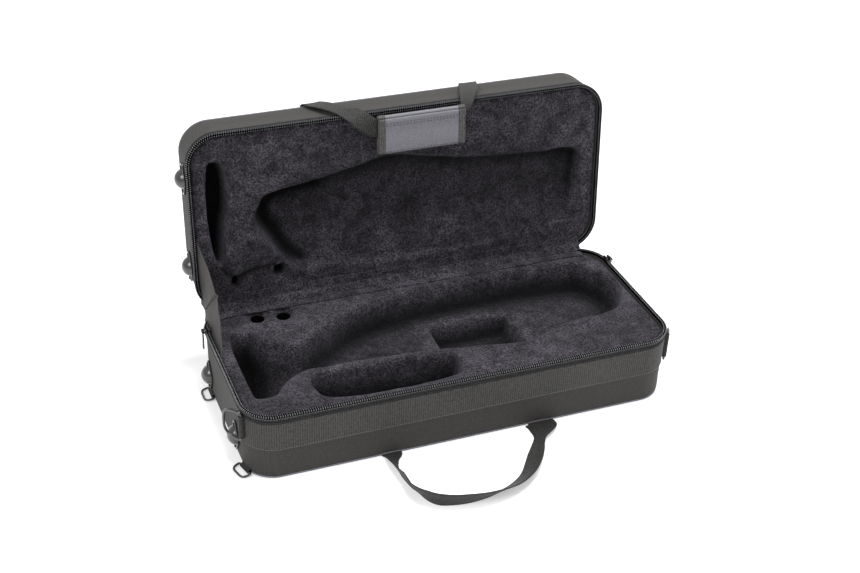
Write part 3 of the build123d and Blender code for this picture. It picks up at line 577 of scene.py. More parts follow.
def row_along(name, paths, pitch, bead, finish, body, place=None):
    """Rows of beads along paths in millimetres; bead is its size out of the surface, across and along."""
    points, edges = [], []
    for path in paths:
        first = len(points)
        points += [tuple(p) for p in np.asarray(path) / 1000]
        edges += [(first + k, first + k + 1) for k in range(len(path) - 1)]
    mesh = bpy.data.meshes.new(name + "_path")
    mesh.from_pydata(points, edges, [])
    carrier = new_object(name + "_path", mesh)
    modifier = carrier.modifiers.new("row", "NODES")
    modifier.node_group = ROW
    sizes = {"Pitch": pitch / 1000, "Bead": [c / 1000 for c in bead], "Unevenness": BEAD_UNEVENNESS,
             "Finish": FINISH[finish]}
    for item in ROW.interface.items_tree:
        if item.in_out == "INPUT" and item.name in sizes:
            modifier[item.identifier] = sizes[item.name]
    carrier.update_tag()
    bpy.context.view_layer.update()
    plain = bpy.data.meshes.new_from_object(carrier.evaluated_get(bpy.context.evaluated_depsgraph_get()))
    bpy.data.objects.remove(carrier)
    if place is not None:
        flat = np.empty(len(plain.vertices) * 3)
        plain.vertices.foreach_get("co", flat)
        plain.vertices.foreach_set("co", (place(flat.reshape(-1, 3) * 1000) / 1000).ravel())
        plain.update()
    piece = new_object(name, plain)
    turn_outward(plain)
    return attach(piece, body)


TAPE_FAR, BAND_FAR = 13.5, 53.6  # d where the tape ends and where the ribbed band ends
STITCH_PITCH = 3.4
for half, place in (("base", in_base), ("lid", in_lid)):
    tape = wall_strip(f"{half}_tape", rounded_bar(0.0, 0.9, 3.9, 9.6), "zip_tape", place, half, 0.2)
    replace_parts(tape, f"{half}_zip_tape")
    rolled_edge = rounded_bar(0.0, 1.3, 10.5, 13.3, 0.6)
    edge = wall_strip(f"{half}_tape_binding", rolled_edge, "zip_tape", place, half, 0.2)
    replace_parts(edge, f"{half}_zip_tape")
    s = np.linspace(ZIP_START, ROUND - ZIP_START, 700)
    rows = [on_wall(s, 1.5, 2.5), on_wall(s, -1.5, 2.6)]
    coil = row_along(f"{half}_coil", rows, TOOTH_PITCH, (2.3, 3.8, 1.2), "zip_coil", half, place)
    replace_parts(coil, f"{half}_zip_coil")
    core = wall_strip(f"{half}_coil_cord", rounded_bar(-2.8, 2.0, 1.7, 4.9), "zip_cord", place, half)
    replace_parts(core, f"{half}_zip_coil")
    seam, bead = [on_wall(s, 1.0, 6.2)], (0.5, 0.9, 2.4)
    row_along(f"{half}_tape_stitches", seam, STITCH_PITCH, bead, "thread", half, place)

BAND_END = 94.0  # the band's ends lie this far in front of the middle, round the front corners
corner_front = CORNER_R - HALF_D
band_turn = math.asin((BAND_END + corner_front) / CORNER_R)
band_start = run_at(HALF_L - CORNER_R + CORNER_R * math.cos(band_turn), -BAND_END)
band_stop = ROUND - band_start


def band_relief(name, start, stop):
    """Ribbed band: fine upright ribs, raised from the band's own thickness."""
    s = np.arange(start, stop, 0.75)
    rib = 0.42 * (0.5 + 0.5 * np.cos(2 * math.pi * s / RIB_PITCH))
    top, last = TAPE_FAR + 0.6, 12
    slack = 0.35 * wavy(np.stack([s, 0 * s, 0 * s], -1), 55, SEED + 9)
    outer = []
    for k, d in enumerate(np.linspace(top, BAND_FAR, last + 1)):
        raised = 0.85 + rib * (0.3 if k in (0, last) else 1.0) + slack * math.sin(math.pi * k / last)
        outer.append(on_wall(s, raised, d))
    inner = [on_wall(s, -0.2, d) for d in (BAND_FAR, (BAND_FAR + TAPE_FAR) / 2, top)]
    piece = skin_over(name, in_base(np.stack(outer + inner, 1)), "ribbed_band")
    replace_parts(piece, "base_side_band")
    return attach(piece, "base")


band_relief("front_band", band_start, band_stop)
s = np.linspace(band_start + 1, band_stop - 1, 500)
seam, bead = [on_wall(s, 1.35, BAND_FAR - 1.8)], (0.5, 0.7, 2.3)
row_along("band_stitches", seam, STITCH_PITCH, bead, "thread", "base", in_base)

# ---------------------------------------------------------------- moulded beds

CELL = 1.0
BED_X = np.arange(-290.0, 291.0, CELL)
BED_Y = np.arange(-126.0, 127.0, CELL)
GX, GY = np.meshgrid(BED_X, BED_Y, indexing="ij")


def between(a, b, c, d, t):
    """Point at share t of the smooth line from b to c, with a before them and d after them."""
    return 0.5 * (2 * b + (c - a) * t + (2 * a - 5 * b + 4 * c - d) * t**2 + (3 * b - a - 3 * c + d) * t**3)


def closed_curve(points, steps=14):
    """Smooth closed line through points."""
    p = np.array(points, float)
    t = (np.arange(steps) / steps)[:, None, None]
    line = between(np.roll(p, 1, 0), p, np.roll(p, -1, 0), np.roll(p, -2, 0), t)
    return line.transpose(1, 0, 2).reshape(-1, 2)


def smooth_run(points, step):
    """Points about a step apart along a smooth line, with any extra columns carried along."""
    p = np.array(points, float)
    p = np.concatenate([2 * p[:1] - p[1:2], p, 2 * p[-1:] - p[-2:-1]])
    out = []
    for a, b, c, d in zip(p, p[1:], p[2:], p[3:]):
        count = max(1, int(round(np.linalg.norm((c - b)[:3]) / step)))
        out += [between(a, b, c, d, t) for t in np.arange(count) / count]
    return np.array(out + [p[-2]])


def headings(line):
    """Unit direction of travel at each point of a line."""
    along = np.gradient(line, axis=0)
    return along / np.linalg.norm(along, axis=1)[:, None]


def sideways(path):
    """Unit direction across a flat path at each of its points."""
    along = headings(path)
    return np.stack([-along[:, 1], along[:, 0]], 1)


def run_along(line):
    """Distance of each point of a line from its start."""
    return np.concatenate([[0], np.cumsum(np.linalg.norm(np.diff(line, axis=0), axis=1))])


def inside(line):
    """Cells of the bed whose middle lies inside a closed line."""
    held = np.zeros(GX.shape, bool)
    for (x0, y0), (x1, y1) in zip(line, np.roll(line, -1, 0)):
        if y0 != y1:
            held ^= ((y0 > GY) != (y1 > GY)) & (GX < (x1 - x0) * (GY - y0) / (y1 - y0) + x0)
    return held


def soften(field, spread):
    """The field with its steps rounded over, as cloth is over foam."""
    reach = int(3 * spread / CELL) + 1
    bell = np.exp(-0.5 * (np.arange(-reach, reach + 1) * CELL / spread) ** 2)
    bell /= bell.sum()

    def blur(row):
        return np.convolve(np.pad(row, reach, mode="edge"), bell, "valid")

    return np.apply_along_axis(blur, 1, np.apply_along_axis(blur, 0, field))


def read_field(field, x, y):
    """Value of a field between its cells."""
    i = np.clip((x - BED_X[0]) / CELL, 0, len(BED_X) - 1.001)
    j = np.clip((y - BED_Y[0]) / CELL, 0, len(BED_Y) - 1.001)
    i0, j0 = i.astype(int), j.astype(int)
    u, v = i - i0, j - j0
    low = field[i0, j0] * (1 - v) + field[i0, j0 + 1] * v
    return low * (1 - u) + (field[i0 + 1, j0] * (1 - v) + field[i0 + 1, j0 + 1] * v) * u


# Outlines of the base bed's pits and the lid pad's recesses, in plan, with y as it is when the case is shut.
RECESS = ((-178, -26), (-120, -29), (-60, -34), (10, -41), (95, -56), (160, -35), (215, -30), (254, -16),
          (272, 28), (254, 74), (222, 93), (100, 98), (0, 92), (-90, 74), (-140, 42), (-178, 12))
ACCESSORY = ((-184, -52), (-183, -72), (-177, -90), (-150, -97), (-120, -101), (-60, -101), (-12, -96),
             (-4, -88), (-1, -68), (-9, -60), (-70, -54), (-150, -51))
SOCKETS = ((-213.0, 101.0), (-179.0, 97.0))
SOCKET_R, SOCKET_FLOOR = 9.6, 37.0  # the sleeves' holes, and their floor's height above the table


def base_bed_field():
    """Depth from the zip's plane over the base bed; z is a height above the table."""
    z = np.full(GX.shape, BED_TOP)
    z[inside(closed_curve(ACCESSORY))] = 44.0
    z[inside(closed_curve(RECESS))] = 50.0
    z[(np.abs(GX - 68) < 54) & (np.abs(GY - 6) < 50)] = 24.0  # pit for the valves
    # The horn's bed is round in section and narrows from the rim at the left end.
    stations = (-259, -238, -228, -219, -206, -193, -172, -150, -60)
    bore = np.interp(GX, stations, (66, 66, 52, 42, 33, 26.5, 22, 20, 18))
    off = np.abs(GY + 4)
    horn = (GX > -259) & (GX < -60) & (off < bore)
    z = np.where(horn, np.minimum(z, 78 - np.sqrt(np.maximum(bore**2 - off**2, 0))), z)
    z = 0.6 * soften(z, 1.7) + 0.4 * soften(z, 4.0)
    for cx, cy in SOCKETS:
        funnel = np.clip(17.5 - np.hypot(GX - cx, GY - cy), 0, 8) / math.tan(math.radians(55))
        z = np.minimum(z, BED_TOP - funnel)
    spots = np.stack([GX, GY, 0 * GX], -1)
    return BASE_DEPTH - soften(z, 1.0) + 0.5 * wavy(spots, 60, SEED + 1) + 0.22 * wavy(spots, 13, SEED + 2)


LID_RECESS = ((-184, -24), (-151, -30), (-127, -34), (-90, -42), (-59, -47), (-32, -54), (0, -55),
              (66, -41), (138, -33), (200, -29), (254, -26), (258, 4), (250, 62), (228, 80), (100, 90),
              (2, 90), (-65, 86), (-149, 79), (-165, 68), (-173, 55), (-181, 40), (-190, 25),
              (-198, 11), (-195, -2), (-190, -17))
BELL_SLOT = ((-252, -80), (-244, -78), (-238, -64), (-235, -48), (-234, -30), (-236, -10), (-240, 5),
             (-244, 26), (-247, 43), (-250, 57), (-254, 55), (-257, 40), (-259, 22), (-261, 0),
             (-261.5, -34), (-260, -58), (-257, -78))
LOBE = ((-224, 26), (-210, 24), (-196, 28), (-187, 37), (-181, 50), (-180, 64), (-192, 71), (-209, 72),
        (-223, 75), (-233, 78), (-244, 70), (-243, 54), (-234, 42), (-227, 34))
# Lines where the plush is drawn in: round the lobe, along the recess's left end and along its lip.
FOLDS = (((-248, 68), (-240, 78), (-231, 82), (-221, 79), (-209, 76), (-196, 75), (-186, 73), (-179, 74)),
         ((-177, 66), (-167, 73), (-161, 86), (-168, 95), (-177, 96)))
LID_CREASE = ((-120, -26), (-150, -21), (-172, -14), (-184, -4), (-188, 8), (-184, 22), (-173, 36),
              (-164, 52), (-153, 66), (-141, 77))
LID_LIP = ((-141, 80), (-65, 87), (0, 91), (100, 91), (190, 85))
LID_DIMPLES = ((-172, 84, 8.0), (-232, 90, 5.5))  # x, y and radius


def away_from(line):
    """Distance of each cell from a line."""
    run = smooth_run(np.concatenate([line, np.zeros((len(line), 1))], 1), 1.5)
    return np.min(np.hypot(GX[..., None] - run[:, 0], GY[..., None] - run[:, 1]), axis=-1)


def painted_hollow_shade(depth):
    """Painted shade for the plush, from 0 to 1: how far each cell lies below what surrounds it, and how deep
    below the bed's flat.
    """
    # Recess floors are painted darker the deeper they lie.
    sunk = 0.6 * np.clip((depth - BED_DROP) / 19, 0, 1)
    return np.clip((depth - soften(depth, 16.0) - 2.5) / 12 + sunk, 0, 1)


def lid_pad_field():
    """Depth from the zip's plane over the lid's pad."""
    h = np.full(GX.shape, BED_DROP)
    # The recess is deepest at its left end and rises towards the hinge.
    left_end = np.clip((-90 - GX) / 70, 0, 1)
    shallow = 1 - 0.68 * np.clip((GY - 25) / 60, 0, 1)
    h = np.where(inside(closed_curve(LID_RECESS)), BED_DROP + (19 + 12 * left_end) * shallow, h)
    h += 11 * np.exp(-((away_from(LID_CREASE) / 8.5) ** 2)) * (h > BED_DROP + 1)
    # A low valley for the horn joins it to the bell's slot.
    flare = np.interp(GX, (-262, -236, -228, -219, -206, -193, -180), (62, 52, 45, 37, 30, 26, 24))
    off = np.abs(GY + 4)
    valley = (GX > -240) & (GX < -178) & (off < flare)
    hollow = np.minimum(-17 + np.sqrt(np.maximum(flare**2 - off**2, 0)), BED_DROP + 6)
    h = np.where(valley, np.maximum(h, hollow), h)
    h = 0.6 * soften(h, 1.8) + 0.4 * soften(h, 4.0)
    h -= 5.0 * soften(inside(closed_curve(LOBE)).astype(float), 2.6)
    for fold in FOLDS:
        h += 7.0 * np.exp(-((away_from(fold) / 2.8) ** 2))
    h += 4.5 * np.exp(-((away_from(LID_LIP) / 1.8) ** 2))
    for x, y, radius in LID_DIMPLES:
        h[np.hypot(GX - x, GY - y) < radius] = BED_DROP + 24.0
    h[inside(closed_curve(BELL_SLOT))] = 47.0
    h = soften(h, 1.5)
    spots = np.stack([GX, GY, 0 * GX], -1)
    return h + 0.8 * wavy(spots, 60, SEED + 4) + 0.35 * wavy(spots, 13, SEED + 5)


def bed(name, node, place, body, field, floor, sockets=()):
    """Plush-covered foam bed: the moulded field, its rolled edge and its hidden sides and underside."""
    # Painted shade of the pile in the bed's hollows and recesses, softened a little.
    held = soften(painted_hollow_shade(field), 1.0)
    outer = -BED_IN
    start = outer - BED_EDGE_R

    def depth_at(x, y):
        depth = read_field(field, x, y)
        for cx, cy in sockets:
            depth = np.where(np.hypot(x - cx, y - cy) < SOCKET_R - 0.2, BASE_DEPTH - SOCKET_FLOOR, depth)
        border = np.minimum(HALF_L - np.abs(x), HALF_D - np.abs(y)) + start
        return np.where(border < 0.1, BED_DROP, depth)

    def shade_at(x, y):
        return read_field(held, x, y)

    rolled = []
    for q in np.linspace(0, math.pi / 2, 7)[1:]:
        rolled.append((start + BED_EDGE_R * math.sin(q), BED_DROP + BED_EDGE_R * (1 - math.cos(q))))
    sides = [(outer, BED_DROP + BED_EDGE_R + 6), (outer, floor - 8), (outer - 5, floor)]
    rings = [(x, y, SOCKET_R) for x, y in sockets]
    profile = rolled + sides
    piece = dished(name, place, "plush", start, BED_DROP, 1.45, 22, depth_at, profile, 60.0, rings, shade_at)
    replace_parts(piece, node)
    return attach(piece, body)


bed("base_plush_bed", "base_bed", in_base, "base", base_bed_field(), BASE_DEPTH - BED_IN, SOCKETS)
bed("lid_plush_pad", "lid_pad", in_lid, "lid", lid_pad_field(), LID_DEPTH - BED_IN)

# ---------------------------------------------------------------- webbing


def strap(name, stations, width, thick, step=3.0):
    """Flat webbing along stations of place and direction across, whose length is the share of the width."""
    line = smooth_run(stations, step)
    centre, across = line[:, :3], line[:, 3:]
    along = headings(centre)
    across = across - along * (across * along).sum(1)[:, None]
    share = np.linalg.norm(across, axis=1)[:, None]
    across /= share
    out = np.cross(along, across)
    half, soft = width / 2, thick / 2
    rim = half - soft * 0.3
    face = np.linspace(-half + soft, half - soft, 9)
    section = [(a, soft) for a in face] + [(rim, soft * 0.7), (half, 0), (rim, -soft * 0.7)]
    section += [(a, -soft) for a in face[::-1]] + [(-rim, -soft * 0.7), (-half, 0), (-rim, soft * 0.7)]
    grid = np.stack([centre + across * a * share + out * b for a, b in section], 1)
    return skin_over(name, grid, "webbing", False, 50.0), centre, across, out


# Stations of the base's handle: x, y, heading and lean in degrees, and share of the width. It lies in
# front of the case on its inner edge, leaning outward.
BASE_HANDLE = (
    (-104, -72.5, -90, 0, 1), (-104, -88, -90, 0, 1), (-104, -105, -90, 0, 1), (-104, -122.2, -90, 0, 1.05),
    (-107, -132, -97, 14, 0.7), (-109.5, -144, -94, 42, 0.6), (-110, -157, -88, 62, 0.62),
    (-109, -170, -84, 70, 0.7), (-107.5, -182, -80, 72, 0.85), (-106.5, -193, -78, 66, 1),
    (-104.5, -203, -66, 58, 1.05), (-100.5, -214, -56, 62, 1.05), (-94, -224, -48, 70, 1),
    (-84, -233.5, -32, 72, 1), (-67.8, -239.8, -14, 68, 1), (-50.8, -242.9, -7, 65, 1),
    (-32.7, -243.8, 2, 58, 1), (-13.7, -241.8, 11, 51, 1), (4.9, -236.5, 20, 42, 1),
    (21.4, -229, 30, 37, 0.95), (39.3, -216, 43, 34, 0.95), (53, -200, 54, 31, 1),
    (65.1, -182, 58, 30, 0.95), (76, -165, 60, 27, 0.74), (84.6, -152, 62, 18, 0.68),
    (91, -141, 72, 10, 1.2), (96, -131, 82, 4, 1.62), (97.6, -122.2, 90, 0, 1.6), (95.5, -114, 90, 0, 1.1),
    (95, -105, 90, 0, 1), (95, -88, 90, 0, 1), (95, -72.5, 90, 0, 1),
)
STRAP_CLEAR = 0.5  # height of its lower edge above the table
stations = []
for x, y, heading, lean, share in BASE_HANDLE:
    heading, lean = math.radians(heading), math.radians(lean)
    across = (math.sin(heading) * math.cos(lean), -math.cos(heading) * math.cos(lean), math.sin(lean))
    z = STRAP_CLEAR + (share * STRAP_W * math.sin(lean) + STRAP_T * math.cos(lean)) / 2
    stations.append((x, y, z) + tuple(share * c for c in across))
base_strap, base_line, base_across, base_out = strap("base_handle_strap", stations, STRAP_W, STRAP_T)
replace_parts(base_strap, "base_handle", "base_handle_patches")
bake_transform(base_strap)

# Stations of the lid's handle: x, distance from the hinge and depth in the lid, then the direction across.
LID_HANDLE = (
    ((-109, 181.5, 62.9), (1, 0, 0)), ((-109, 200, 62.9), (1, 0, 0)), ((-109, 220, 62.9), (1, 0, 0)),
    ((-109, 234.9, 62.9), (1, 0, 0)), ((-108.5, 239.5, 63.8), (1, 0, 0)), ((-107, 244, 60.4), (1, 0, 0.08)),
    ((-103, 246.2, 51), (0.93, 0, 0.37)), ((-96, 248.3, 38), (0.83, 0, 0.55)),
    ((-87, 249.2, 22), (0.8, 0, 0.6)), ((-78, 248.8, 8), (0.78, 0.1, 0.62)),
    ((-69, 246.6, -4), (0.7, 0.45, 0.55)), ((-60, 239.5, -10.5), (0.5, 0.8, 0.33)),
    ((-50, 232, -12.5), (0.25, 0.97, 0.05)), ((-40, 227.6, -12.5), (0.03, 1, 0)),
    ((-30, 227, -12.5), (0, 1, 0)), ((20, 227, -12.5), (0, 1, 0)), ((46, 227, -12.5), (0, 1, 0)),
    ((57, 228, -12.5), (-0.2, 0.8, 0)), ((66, 231.5, -12.5), (-0.42, 0.5, 0)),
    ((74, 236.5, -12), (-0.66, 0.26, -0.06)), ((80.5, 241.2, -9.5), (-0.8, 0.08, -0.12)),
    ((85, 246, -4), (-0.84, 0, -0.1)), ((91.5, 248.8, 10), (-0.88, 0, 0.15)),
    ((101, 248.4, 30), (-0.95, 0, 0.31)), ((108, 246.6, 48), (-0.98, 0, 0.2)),
    ((112, 244, 60.4), (-1, 0, 0.05)), ((113, 239.5, 63.8), (-1, 0, 0)), ((113, 234.9, 62.9), (-1, 0, 0)),
    ((113, 220, 62.9), (-1, 0, 0)), ((113, 200, 62.9), (-1, 0, 0)), ((113, 181.5, 62.9), (-1, 0, 0)),
)


def from_hinge(points):
    """World place of x, distance from the hinge and depth in the open lid."""
    p = np.asarray(points, float)
    return in_lid(np.stack([p[..., 0], HALF_D - p[..., 1], p[..., 2]], -1))


places = from_hinge([p for p, _ in LID_HANDLE])
sides = from_hinge([w for _, w in LID_HANDLE]) - from_hinge((0, 0, 0))
stations = np.concatenate([places, sides], 1)
lid_strap, lid_line, lid_across, lid_out = strap("lid_handle_strap", stations, STRAP_W, STRAP_T)
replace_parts(lid_strap, "lid_handle", "lid_handle_patches")
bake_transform(lid_strap)


def end_stitches(name, line, across, out, body, face):
    """Stitched box with a cross over it, where each end of a strap is sewn down."""
    run = run_along(line)
    near, far, side = 5, 33, 9

    def at(s, a):
        i = min(int(np.searchsorted(run, s)), len(line) - 1)
        return line[i] + across[i] * a + out[i] * face

    paths = []
    for lo, hi in ((near, far), (run[-1] - far, run[-1] - near)):
        box = [(lo, -side), (hi, -side), (hi, side), (lo, side), (lo, -side)]
        paths.append(np.array([at(s, a) for s, a in box]))
        paths += [np.array([at(lo, -side), at(hi, side)]), np.array([at(lo, side), at(hi, -side)])]
    return row_along(name, paths, 3.0, (0.6, 0.6, 2.1), "thread", body)


# The stitches lie on the face that shows.
base_face = 0.9 if base_out[2][2] < 0 else -0.9
lid_face = 0.9 if lid_out[2][1] > 0 else -0.9
end_stitches("base_handle_stitches", base_line, base_across, base_out, "base", base_face)
end_stitches("lid_handle_stitches", lid_line, lid_across, lid_out, "lid", lid_face)

# Grip: a padded leaf behind the webbing, folded over its upper edge, and a padded flap in front.
GRIP_LEFT, GRIP_RIGHT = -40.0, 78.0
FOLD_V, STRAP_H = 240.0, -12.5  # distance of the fold from the hinge, and depth of the webbing
# The leaves' middle off the webbing's, half their thickness, their length and the flap's pivot.
LEAF_MID, LEAF_HALF, LEAF_LEN, FLAP_PIVOT = 2.85, 1.25, 47.5, 0.6


def leaf(name, path, x0, x1, thick, finish, body, puff=0.0, node=None):
    """Padded leaf whose middle follows a path of (v, h) in the open lid, from x0 to x1."""
    path = smooth_run(np.concatenate([path, np.zeros((len(path), 1))], 1), 1.6)[:, :2]
    side = sideways(path)
    xs = np.concatenate([[x0, x0 + 0.6], np.linspace(x0 + 2, x1 - 2, 44), [x1 - 0.6, x1]])
    run = run_along(path)
    to_end = np.minimum(run, run[-1] - run)
    share = np.clip(to_end / 7, 0, 1)
    round_end = np.sqrt(np.clip(1 - (1 - np.minimum(to_end / 1.2, 1)) ** 2, 0.04, 1))
    grid = []
    for x in xs:
        to_side = min(x - x0, x1 - x)
        edge = math.sqrt(max(0.04, 1 - (1 - min(1.0, to_side / 1.2)) ** 2))
        swell = puff * math.sin(min(1.0, to_side / 9) * math.pi / 2) * np.sin(share * math.pi / 2)
        spots = np.stack([np.full(len(path), x), path[:, 0], path[:, 1]], -1)
        wave = 0.25 * puff * wavy(spots, 24, SEED + 6) * share
        half = thick * edge * round_end
        upper = path + side * (half + swell + wave)[:, None]
        lower = path - side * half[:, None]
        ring = np.concatenate([upper, lower[::-1]])
        grid.append(np.concatenate([np.full((len(ring), 1), x), ring], 1))
    piece = skin_over(name, from_hinge(np.array(grid)), finish, False, 60.0)
    if node:
        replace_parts(piece, node)
    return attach(piece, body)


fold = [(FOLD_V + LEAF_MID * math.sin(q), STRAP_H + LEAF_MID * math.cos(q))
        for q in np.linspace(0.2, math.pi - 0.25, 8)]
back_path = ([(FOLD_V - t, STRAP_H + LEAF_MID) for t in (LEAF_LEN, 35, 17)] + fold)[::-1]
front_start = [(FOLD_V - FLAP_PIVOT + 1.0, STRAP_H - LEAF_MID)]
front_path = (front_start + [(FOLD_V - t, STRAP_H - LEAF_MID) for t in (7, 18, 29, 40, LEAF_LEN)])[::-1]
ends = (GRIP_LEFT, GRIP_RIGHT)
back = leaf("grip_back_and_fold", back_path, *ends, LEAF_HALF, "grip_cloth", "lid_handle", 0.5, "grip_wrap")
front = leaf("grip_front_flap", front_path, *ends, LEAF_HALF, "grip_cloth", "grip_flap", 1.0, "grip_flap")
for side, x0, x1 in (("left", GRIP_LEFT - 0.8, GRIP_LEFT + 9.5), ("right", GRIP_RIGHT - 9.5, GRIP_RIGHT + 0.8)):
    leaf(f"grip_fold_binding_{side}", back_path, x0, x1, LEAF_HALF + 0.6, "binding", "lid_handle")
    leaf(f"grip_flap_binding_{side}", front_path, x0, x1, LEAF_HALF + 0.6, "binding", "grip_flap")
front_face = STRAP_H - LEAF_MID - LEAF_HALF - 0.55
seam_x = np.linspace(GRIP_LEFT + 11, GRIP_RIGHT - 11, 60)
seams = [from_hinge([(x, FOLD_V - t, front_face) for x in seam_x]) for t in (6.0, 9.2, 44.5)]
row_along("grip_stitches", seams, 4.4, (0.8, 0.9, 2.6), "grip_thread", "grip_flap")

# ---------------------------------------------------------------- tabs that hold the rings


def looped_tab(name, node, origin, along, out, path, width, thick):
    """Webbing that comes from a seam and turns round a ring's bar; path is along and out of the wall."""
    along, out = np.array(along, float), np.array(out, float)
    across = np.cross(out, along)
    stations = [np.concatenate([np.array(origin) + along * a + out * b, across]) for a, b in path]
    piece = strap(name, stations, width, thick, 1.5)[0]
    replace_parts(piece, node)
    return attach(piece, "base")


def round_bar(radius, start, stop, count=9):
    """Part of a turn round the bar, as (along, out)."""
    return [(radius * math.cos(q), radius * math.sin(q)) for q in np.radians(np.linspace(start, stop, count))]


# The shoulder rings' direction round the front corners, their bar's place off the corner's centre, and
# its height.
RING_TURN = math.radians(36.0)
RING_OUT, RING_BACK, SHOULDER_Z = 43.0, 13.5, 70.0
shoulder_path = [(-3.6, -5.5), (-3.2, -2.6)] + round_bar(2.7, 180, -50, 15) + [(2.4, -3.4), (2.6, -5.5)]
for side, sign, droop in (("left", -1, 0.0), ("right", 1, math.radians(20.0))):
    out = np.array([sign * math.cos(RING_TURN), -math.sin(RING_TURN), 0.0])
    level = np.array([sign * math.sin(RING_TURN), math.cos(RING_TURN), 0.0])
    along = level * math.cos(droop) - np.array([0, 0, math.sin(droop)])
    corner = np.array([sign * (HALF_L - CORNER_R), CORNER_R - HALF_D, SHOULDER_Z])
    origin = corner + out * RING_OUT + along * RING_BACK
    looped_tab(f"shoulder_webbing_{side}", f"shoulder_tab_{side}", origin, along, out, shoulder_path, 32.0, 1.4)

backpack_path = [(-6.5, 4.6), (-3.2, 4.5), (-1.2, 3.2)] + round_bar(2.0, 75, -100, 8)
backpack_path += [(-2.6, -2.3), (-6.5, -2.6)]
backpack = {"back": ((-HALF_L - TAB_STAND, BACK_TAB_Y, TAB_Z), (-1, 0, 0)),
            "front": (TAB_FRONT + (TAB_Z,), (-math.cos(TAB_TURN), -math.sin(TAB_TURN), 0))}
for side, (origin, along) in backpack.items():
    looped_tab(f"backpack_webbing_{side}", f"backpack_tab_{side}", origin, along, (0, 0, 1), backpack_path,
               18.0, 0.8)

# ---------------------------------------------------------------- hinge and stay

COVER_HALF = 262.0  # half the length of the hinge's cloths


def hinge_cloth(name, node, low, high, thick, finish, wave):
    """Cloth along the back, from (v, d) in the base to (v, d) in the lid; it follows the rounded corners."""
    low, high = np.array(low, float), np.array(high, float)
    ends = [in_base([(0, HALF_D - v, d) for v, d in low]), in_lid([(0, HALF_D - v, d) for v, d in high])]
    path = smooth_run(np.concatenate(ends)[:, [1, 2, 0]], 1.2)[:, :2]
    side = sideways(path) * thick / 2
    ring = np.concatenate([path + side, (path - side)[::-1]])
    last, first = ends[0][-1][1:], ends[1][0][1:]
    share = np.clip((path - last) @ (first - last) / ((first - last) @ (first - last)), 0, 1)
    share = np.concatenate([share, share[::-1]])[:, None]
    # At the rounded corners the cloth moves in with the wall, in the base's plane and then in the lid's.
    forward, up = np.array([-1.0, 0.0]), np.array([-math.cos(OPEN_ANGLE), math.sin(OPEN_ANGLE)])
    grid = []
    for x in np.linspace(-COVER_HALF, COVER_HALF, 176):
        drop = CORNER_R - math.sqrt(CORNER_R**2 - max(0.0, abs(x) - HALF_L + CORNER_R) ** 2)
        moved = ring + drop * (forward * (1 - share) + up * share)
        spots = np.concatenate([np.full((len(ring), 1), x), moved], 1)
        spots[:, 1:] += wave * wavy(spots, 30, SEED + 7)[:, None] * 0.7
        grid.append(spots)
    piece = skin_over(name, np.array(grid), finish, False, 60.0)
    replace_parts(piece, node)
    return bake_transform(piece)


hinge_cloth("hinge_outer_cloth", "hinge_cover", ((-0.7, 21.2), (-0.7, 11.2), (-1.0, 2.7)),
            ((-0.9, 2.4), (-0.7, 11), (-0.7, 21)), 1.0, "shell_fabric", 0.15)
hinge_cloth("hinge_plush_lining", "hinge_lining", ((13.5, 5.6), (8.5, 4.6), (3.5, 4.2), (-0.1, 0.6)),
            ((5, 4.5), (10, 5.0), (16, 5.8)), 1.6, "plush", 0.2)

STAY_X, STAY_LEAN, STAY_SEAM, STAY_T = -280.5, 0.126, 5.0, 0.9
# Reach of the stay from the hinge: its back edge, its crease's tip, and its front edge in base and lid.
STAY_BACK_R, STAY_TIP_R, BASE_REACH, LID_REACH = 9.0, 74.0, 100.5, 99.0
CREASE_AT = 0.955  # share of a leaf where the crease's pinch starts


def stay():
    """Cloth stay at the left end: two leaves, creased half way between the rims, slack at the front."""
    half = OPEN_ANGLE / 2
    rows = []
    for t in np.linspace(0, 1, 30):
        reach = STAY_BACK_R + (np.array((BASE_REACH, STAY_TIP_R, LID_REACH)) - STAY_BACK_R) * t
        low = in_base((STAY_X, HALF_D - reach[0], STAY_SEAM + 1.5))
        high = in_lid((STAY_X, HALF_D - reach[2], STAY_SEAM + 1.5))
        rise = STAY_SEAM + reach[1] * math.sin(half)
        fold_y, fold_z = HALF_D - reach[1] * math.cos(half), BASE_DEPTH - STAY_SEAM + rise
        fold = np.array([STAY_X + STAY_LEAN * rise, fold_y, fold_z])
        line = []
        for a, b in ((low, fold), (high, fold)):
            leaf_line = []
            for u in np.concatenate([np.linspace(0, 0.9, 11), [CREASE_AT, 1.0]]):
                sag = 3.0 * math.sin(math.pi * min(u / CREASE_AT, 1)) ** 0.8 * (0.4 + 0.6 * t)
                pinch = 2.4 if u == 1.0 else 0.0
                leaf_line.append(a + (b - a) * u + np.array([sag * 0.6 + pinch, sag * 0.25, 0]))
            line += leaf_line if a is low else leaf_line[-2::-1]
        rows.append(line)
    face = np.array(rows)
    face += (0.6 * wavy(face, 30, SEED + 8))[..., None] * np.array([1.0, 0, 0])
    back = face + np.array([STAY_T, 0, 0])
    grid = np.concatenate([face, back[:, ::-1]], 1)
    piece = skin_over("stay_bellows", grid, "stay_cloth", False, 30.0)
    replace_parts(piece, "lid_stay")
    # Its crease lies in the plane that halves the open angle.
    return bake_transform(piece)


stay()

# ---------------------------------------------------------------- hard parts keep their solids

KEPT = {
    "zip_metal": ("zip_slider_left", "zip_slider_right", "zip_pull_left", "zip_pull_right"),
    "ring_metal": ("shoulder_ring_left", "shoulder_ring_right", "backpack_ring_front", "backpack_ring_back"),
    "foot_rubber": ("base_foot_front", "base_foot_back", "lid_foot_upper", "lid_foot_lower"),
    "screw_metal": ("base_foot_screws", "lid_foot_screws"),
    "sleeve_plastic": ("mouthpiece_sleeve_left", "mouthpiece_sleeve_right"),
}
for finish, nodes in KEPT.items():
    for node in nodes:
        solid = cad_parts[node]
        solid.data.materials.clear()
        solid.data.materials.append(FINISH[finish])

# ---------------------------------------------------------------- studio


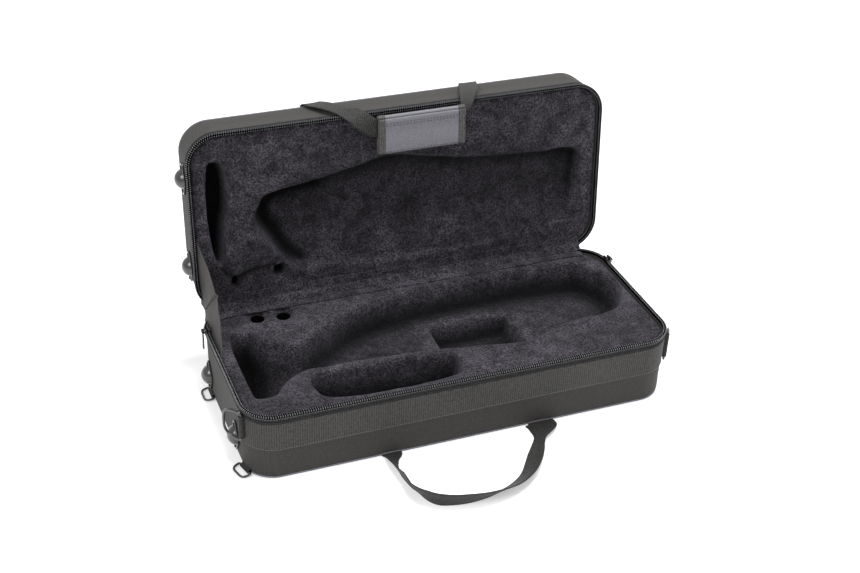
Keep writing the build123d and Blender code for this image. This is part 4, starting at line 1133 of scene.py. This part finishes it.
FLOOR_HALF, FLOOR_GLOW, WORLD_LEVEL = 12.0, 0.3, 0.42
# Place, aim, size and watts of each lamp.
LAMPS = {
    "key_lamp": ((-1.6, -1.0, 1.9), (0, 0, 0.1), 1.2, 30),
    "fill_lamp": ((1.6, -1.6, 1.4), (0, 0, 0.15), 1.6, 15),
    "top_lamp": ((0.4, 0.1, 2.4), (0, 0, 0.1), 1.2, 62),
}


def looked_at(tree):
    """1 where a surface is seen by the camera or in a gloss or glass, and 0 where it lights things."""
    seen = add(tree, "ShaderNodeLightPath").outputs
    feeds = {0: seen["Is Camera Ray"], 1: seen["Is Glossy Ray"]}
    view = add(tree, "ShaderNodeMath", feeds, operation="MAXIMUM")
    feeds = {0: view.outputs[0], 1: seen["Is Transmission Ray"]}
    return add(tree, "ShaderNodeMath", feeds, operation="MAXIMUM").outputs[0]


def studio():
    """White floor and surroundings, with three soft lamps."""
    floor_mesh = bpy.data.meshes.new("floor")
    w = FLOOR_HALF
    floor_mesh.from_pydata([(-w, -w, 0), (w, -w, 0), (w, w, 0), (-w, w, 0)], [], [(0, 1, 2, 3)])
    floor = new_object("floor", floor_mesh)
    paper, tree, skin = start_finish("studio_paper", "#f7f7f8", 0.9)
    skin.inputs["Specular IOR Level"].default_value = 0.0
    lift = add(tree, "ShaderNodeMath", {0: looked_at(tree), 1: FLOOR_GLOW}, operation="MULTIPLY")
    skin.inputs["Emission Color"].default_value = (1, 1, 1, 1)
    tree.links.new(lift.outputs[0], skin.inputs["Emission Strength"])
    floor_mesh.materials.append(paper)

    world = bpy.data.worlds.new("studio")
    bpy.context.scene.world = world
    world.use_nodes = True
    tree = world.node_tree
    sky = tree.nodes["Background"]
    sky.inputs["Color"].default_value = (1, 1, 1, 1)
    feeds = {"Value": looked_at(tree), "To Min": WORLD_LEVEL, "To Max": 1.0}
    level = add(tree, "ShaderNodeMapRange", feeds)
    tree.links.new(level.outputs[0], sky.inputs["Strength"])

    for name, (spot, aim, size, power) in LAMPS.items():
        data = bpy.data.lights.new(name, "AREA")
        data.size = size
        data.energy = power
        lamp = new_object(name, data)
        lamp.location = spot
        lamp.rotation_euler = (Vector(aim) - Vector(spot)).to_track_quat("-Z", "Y").to_euler()


studio()
bpy.context.scene.view_settings.view_transform = "Standard"
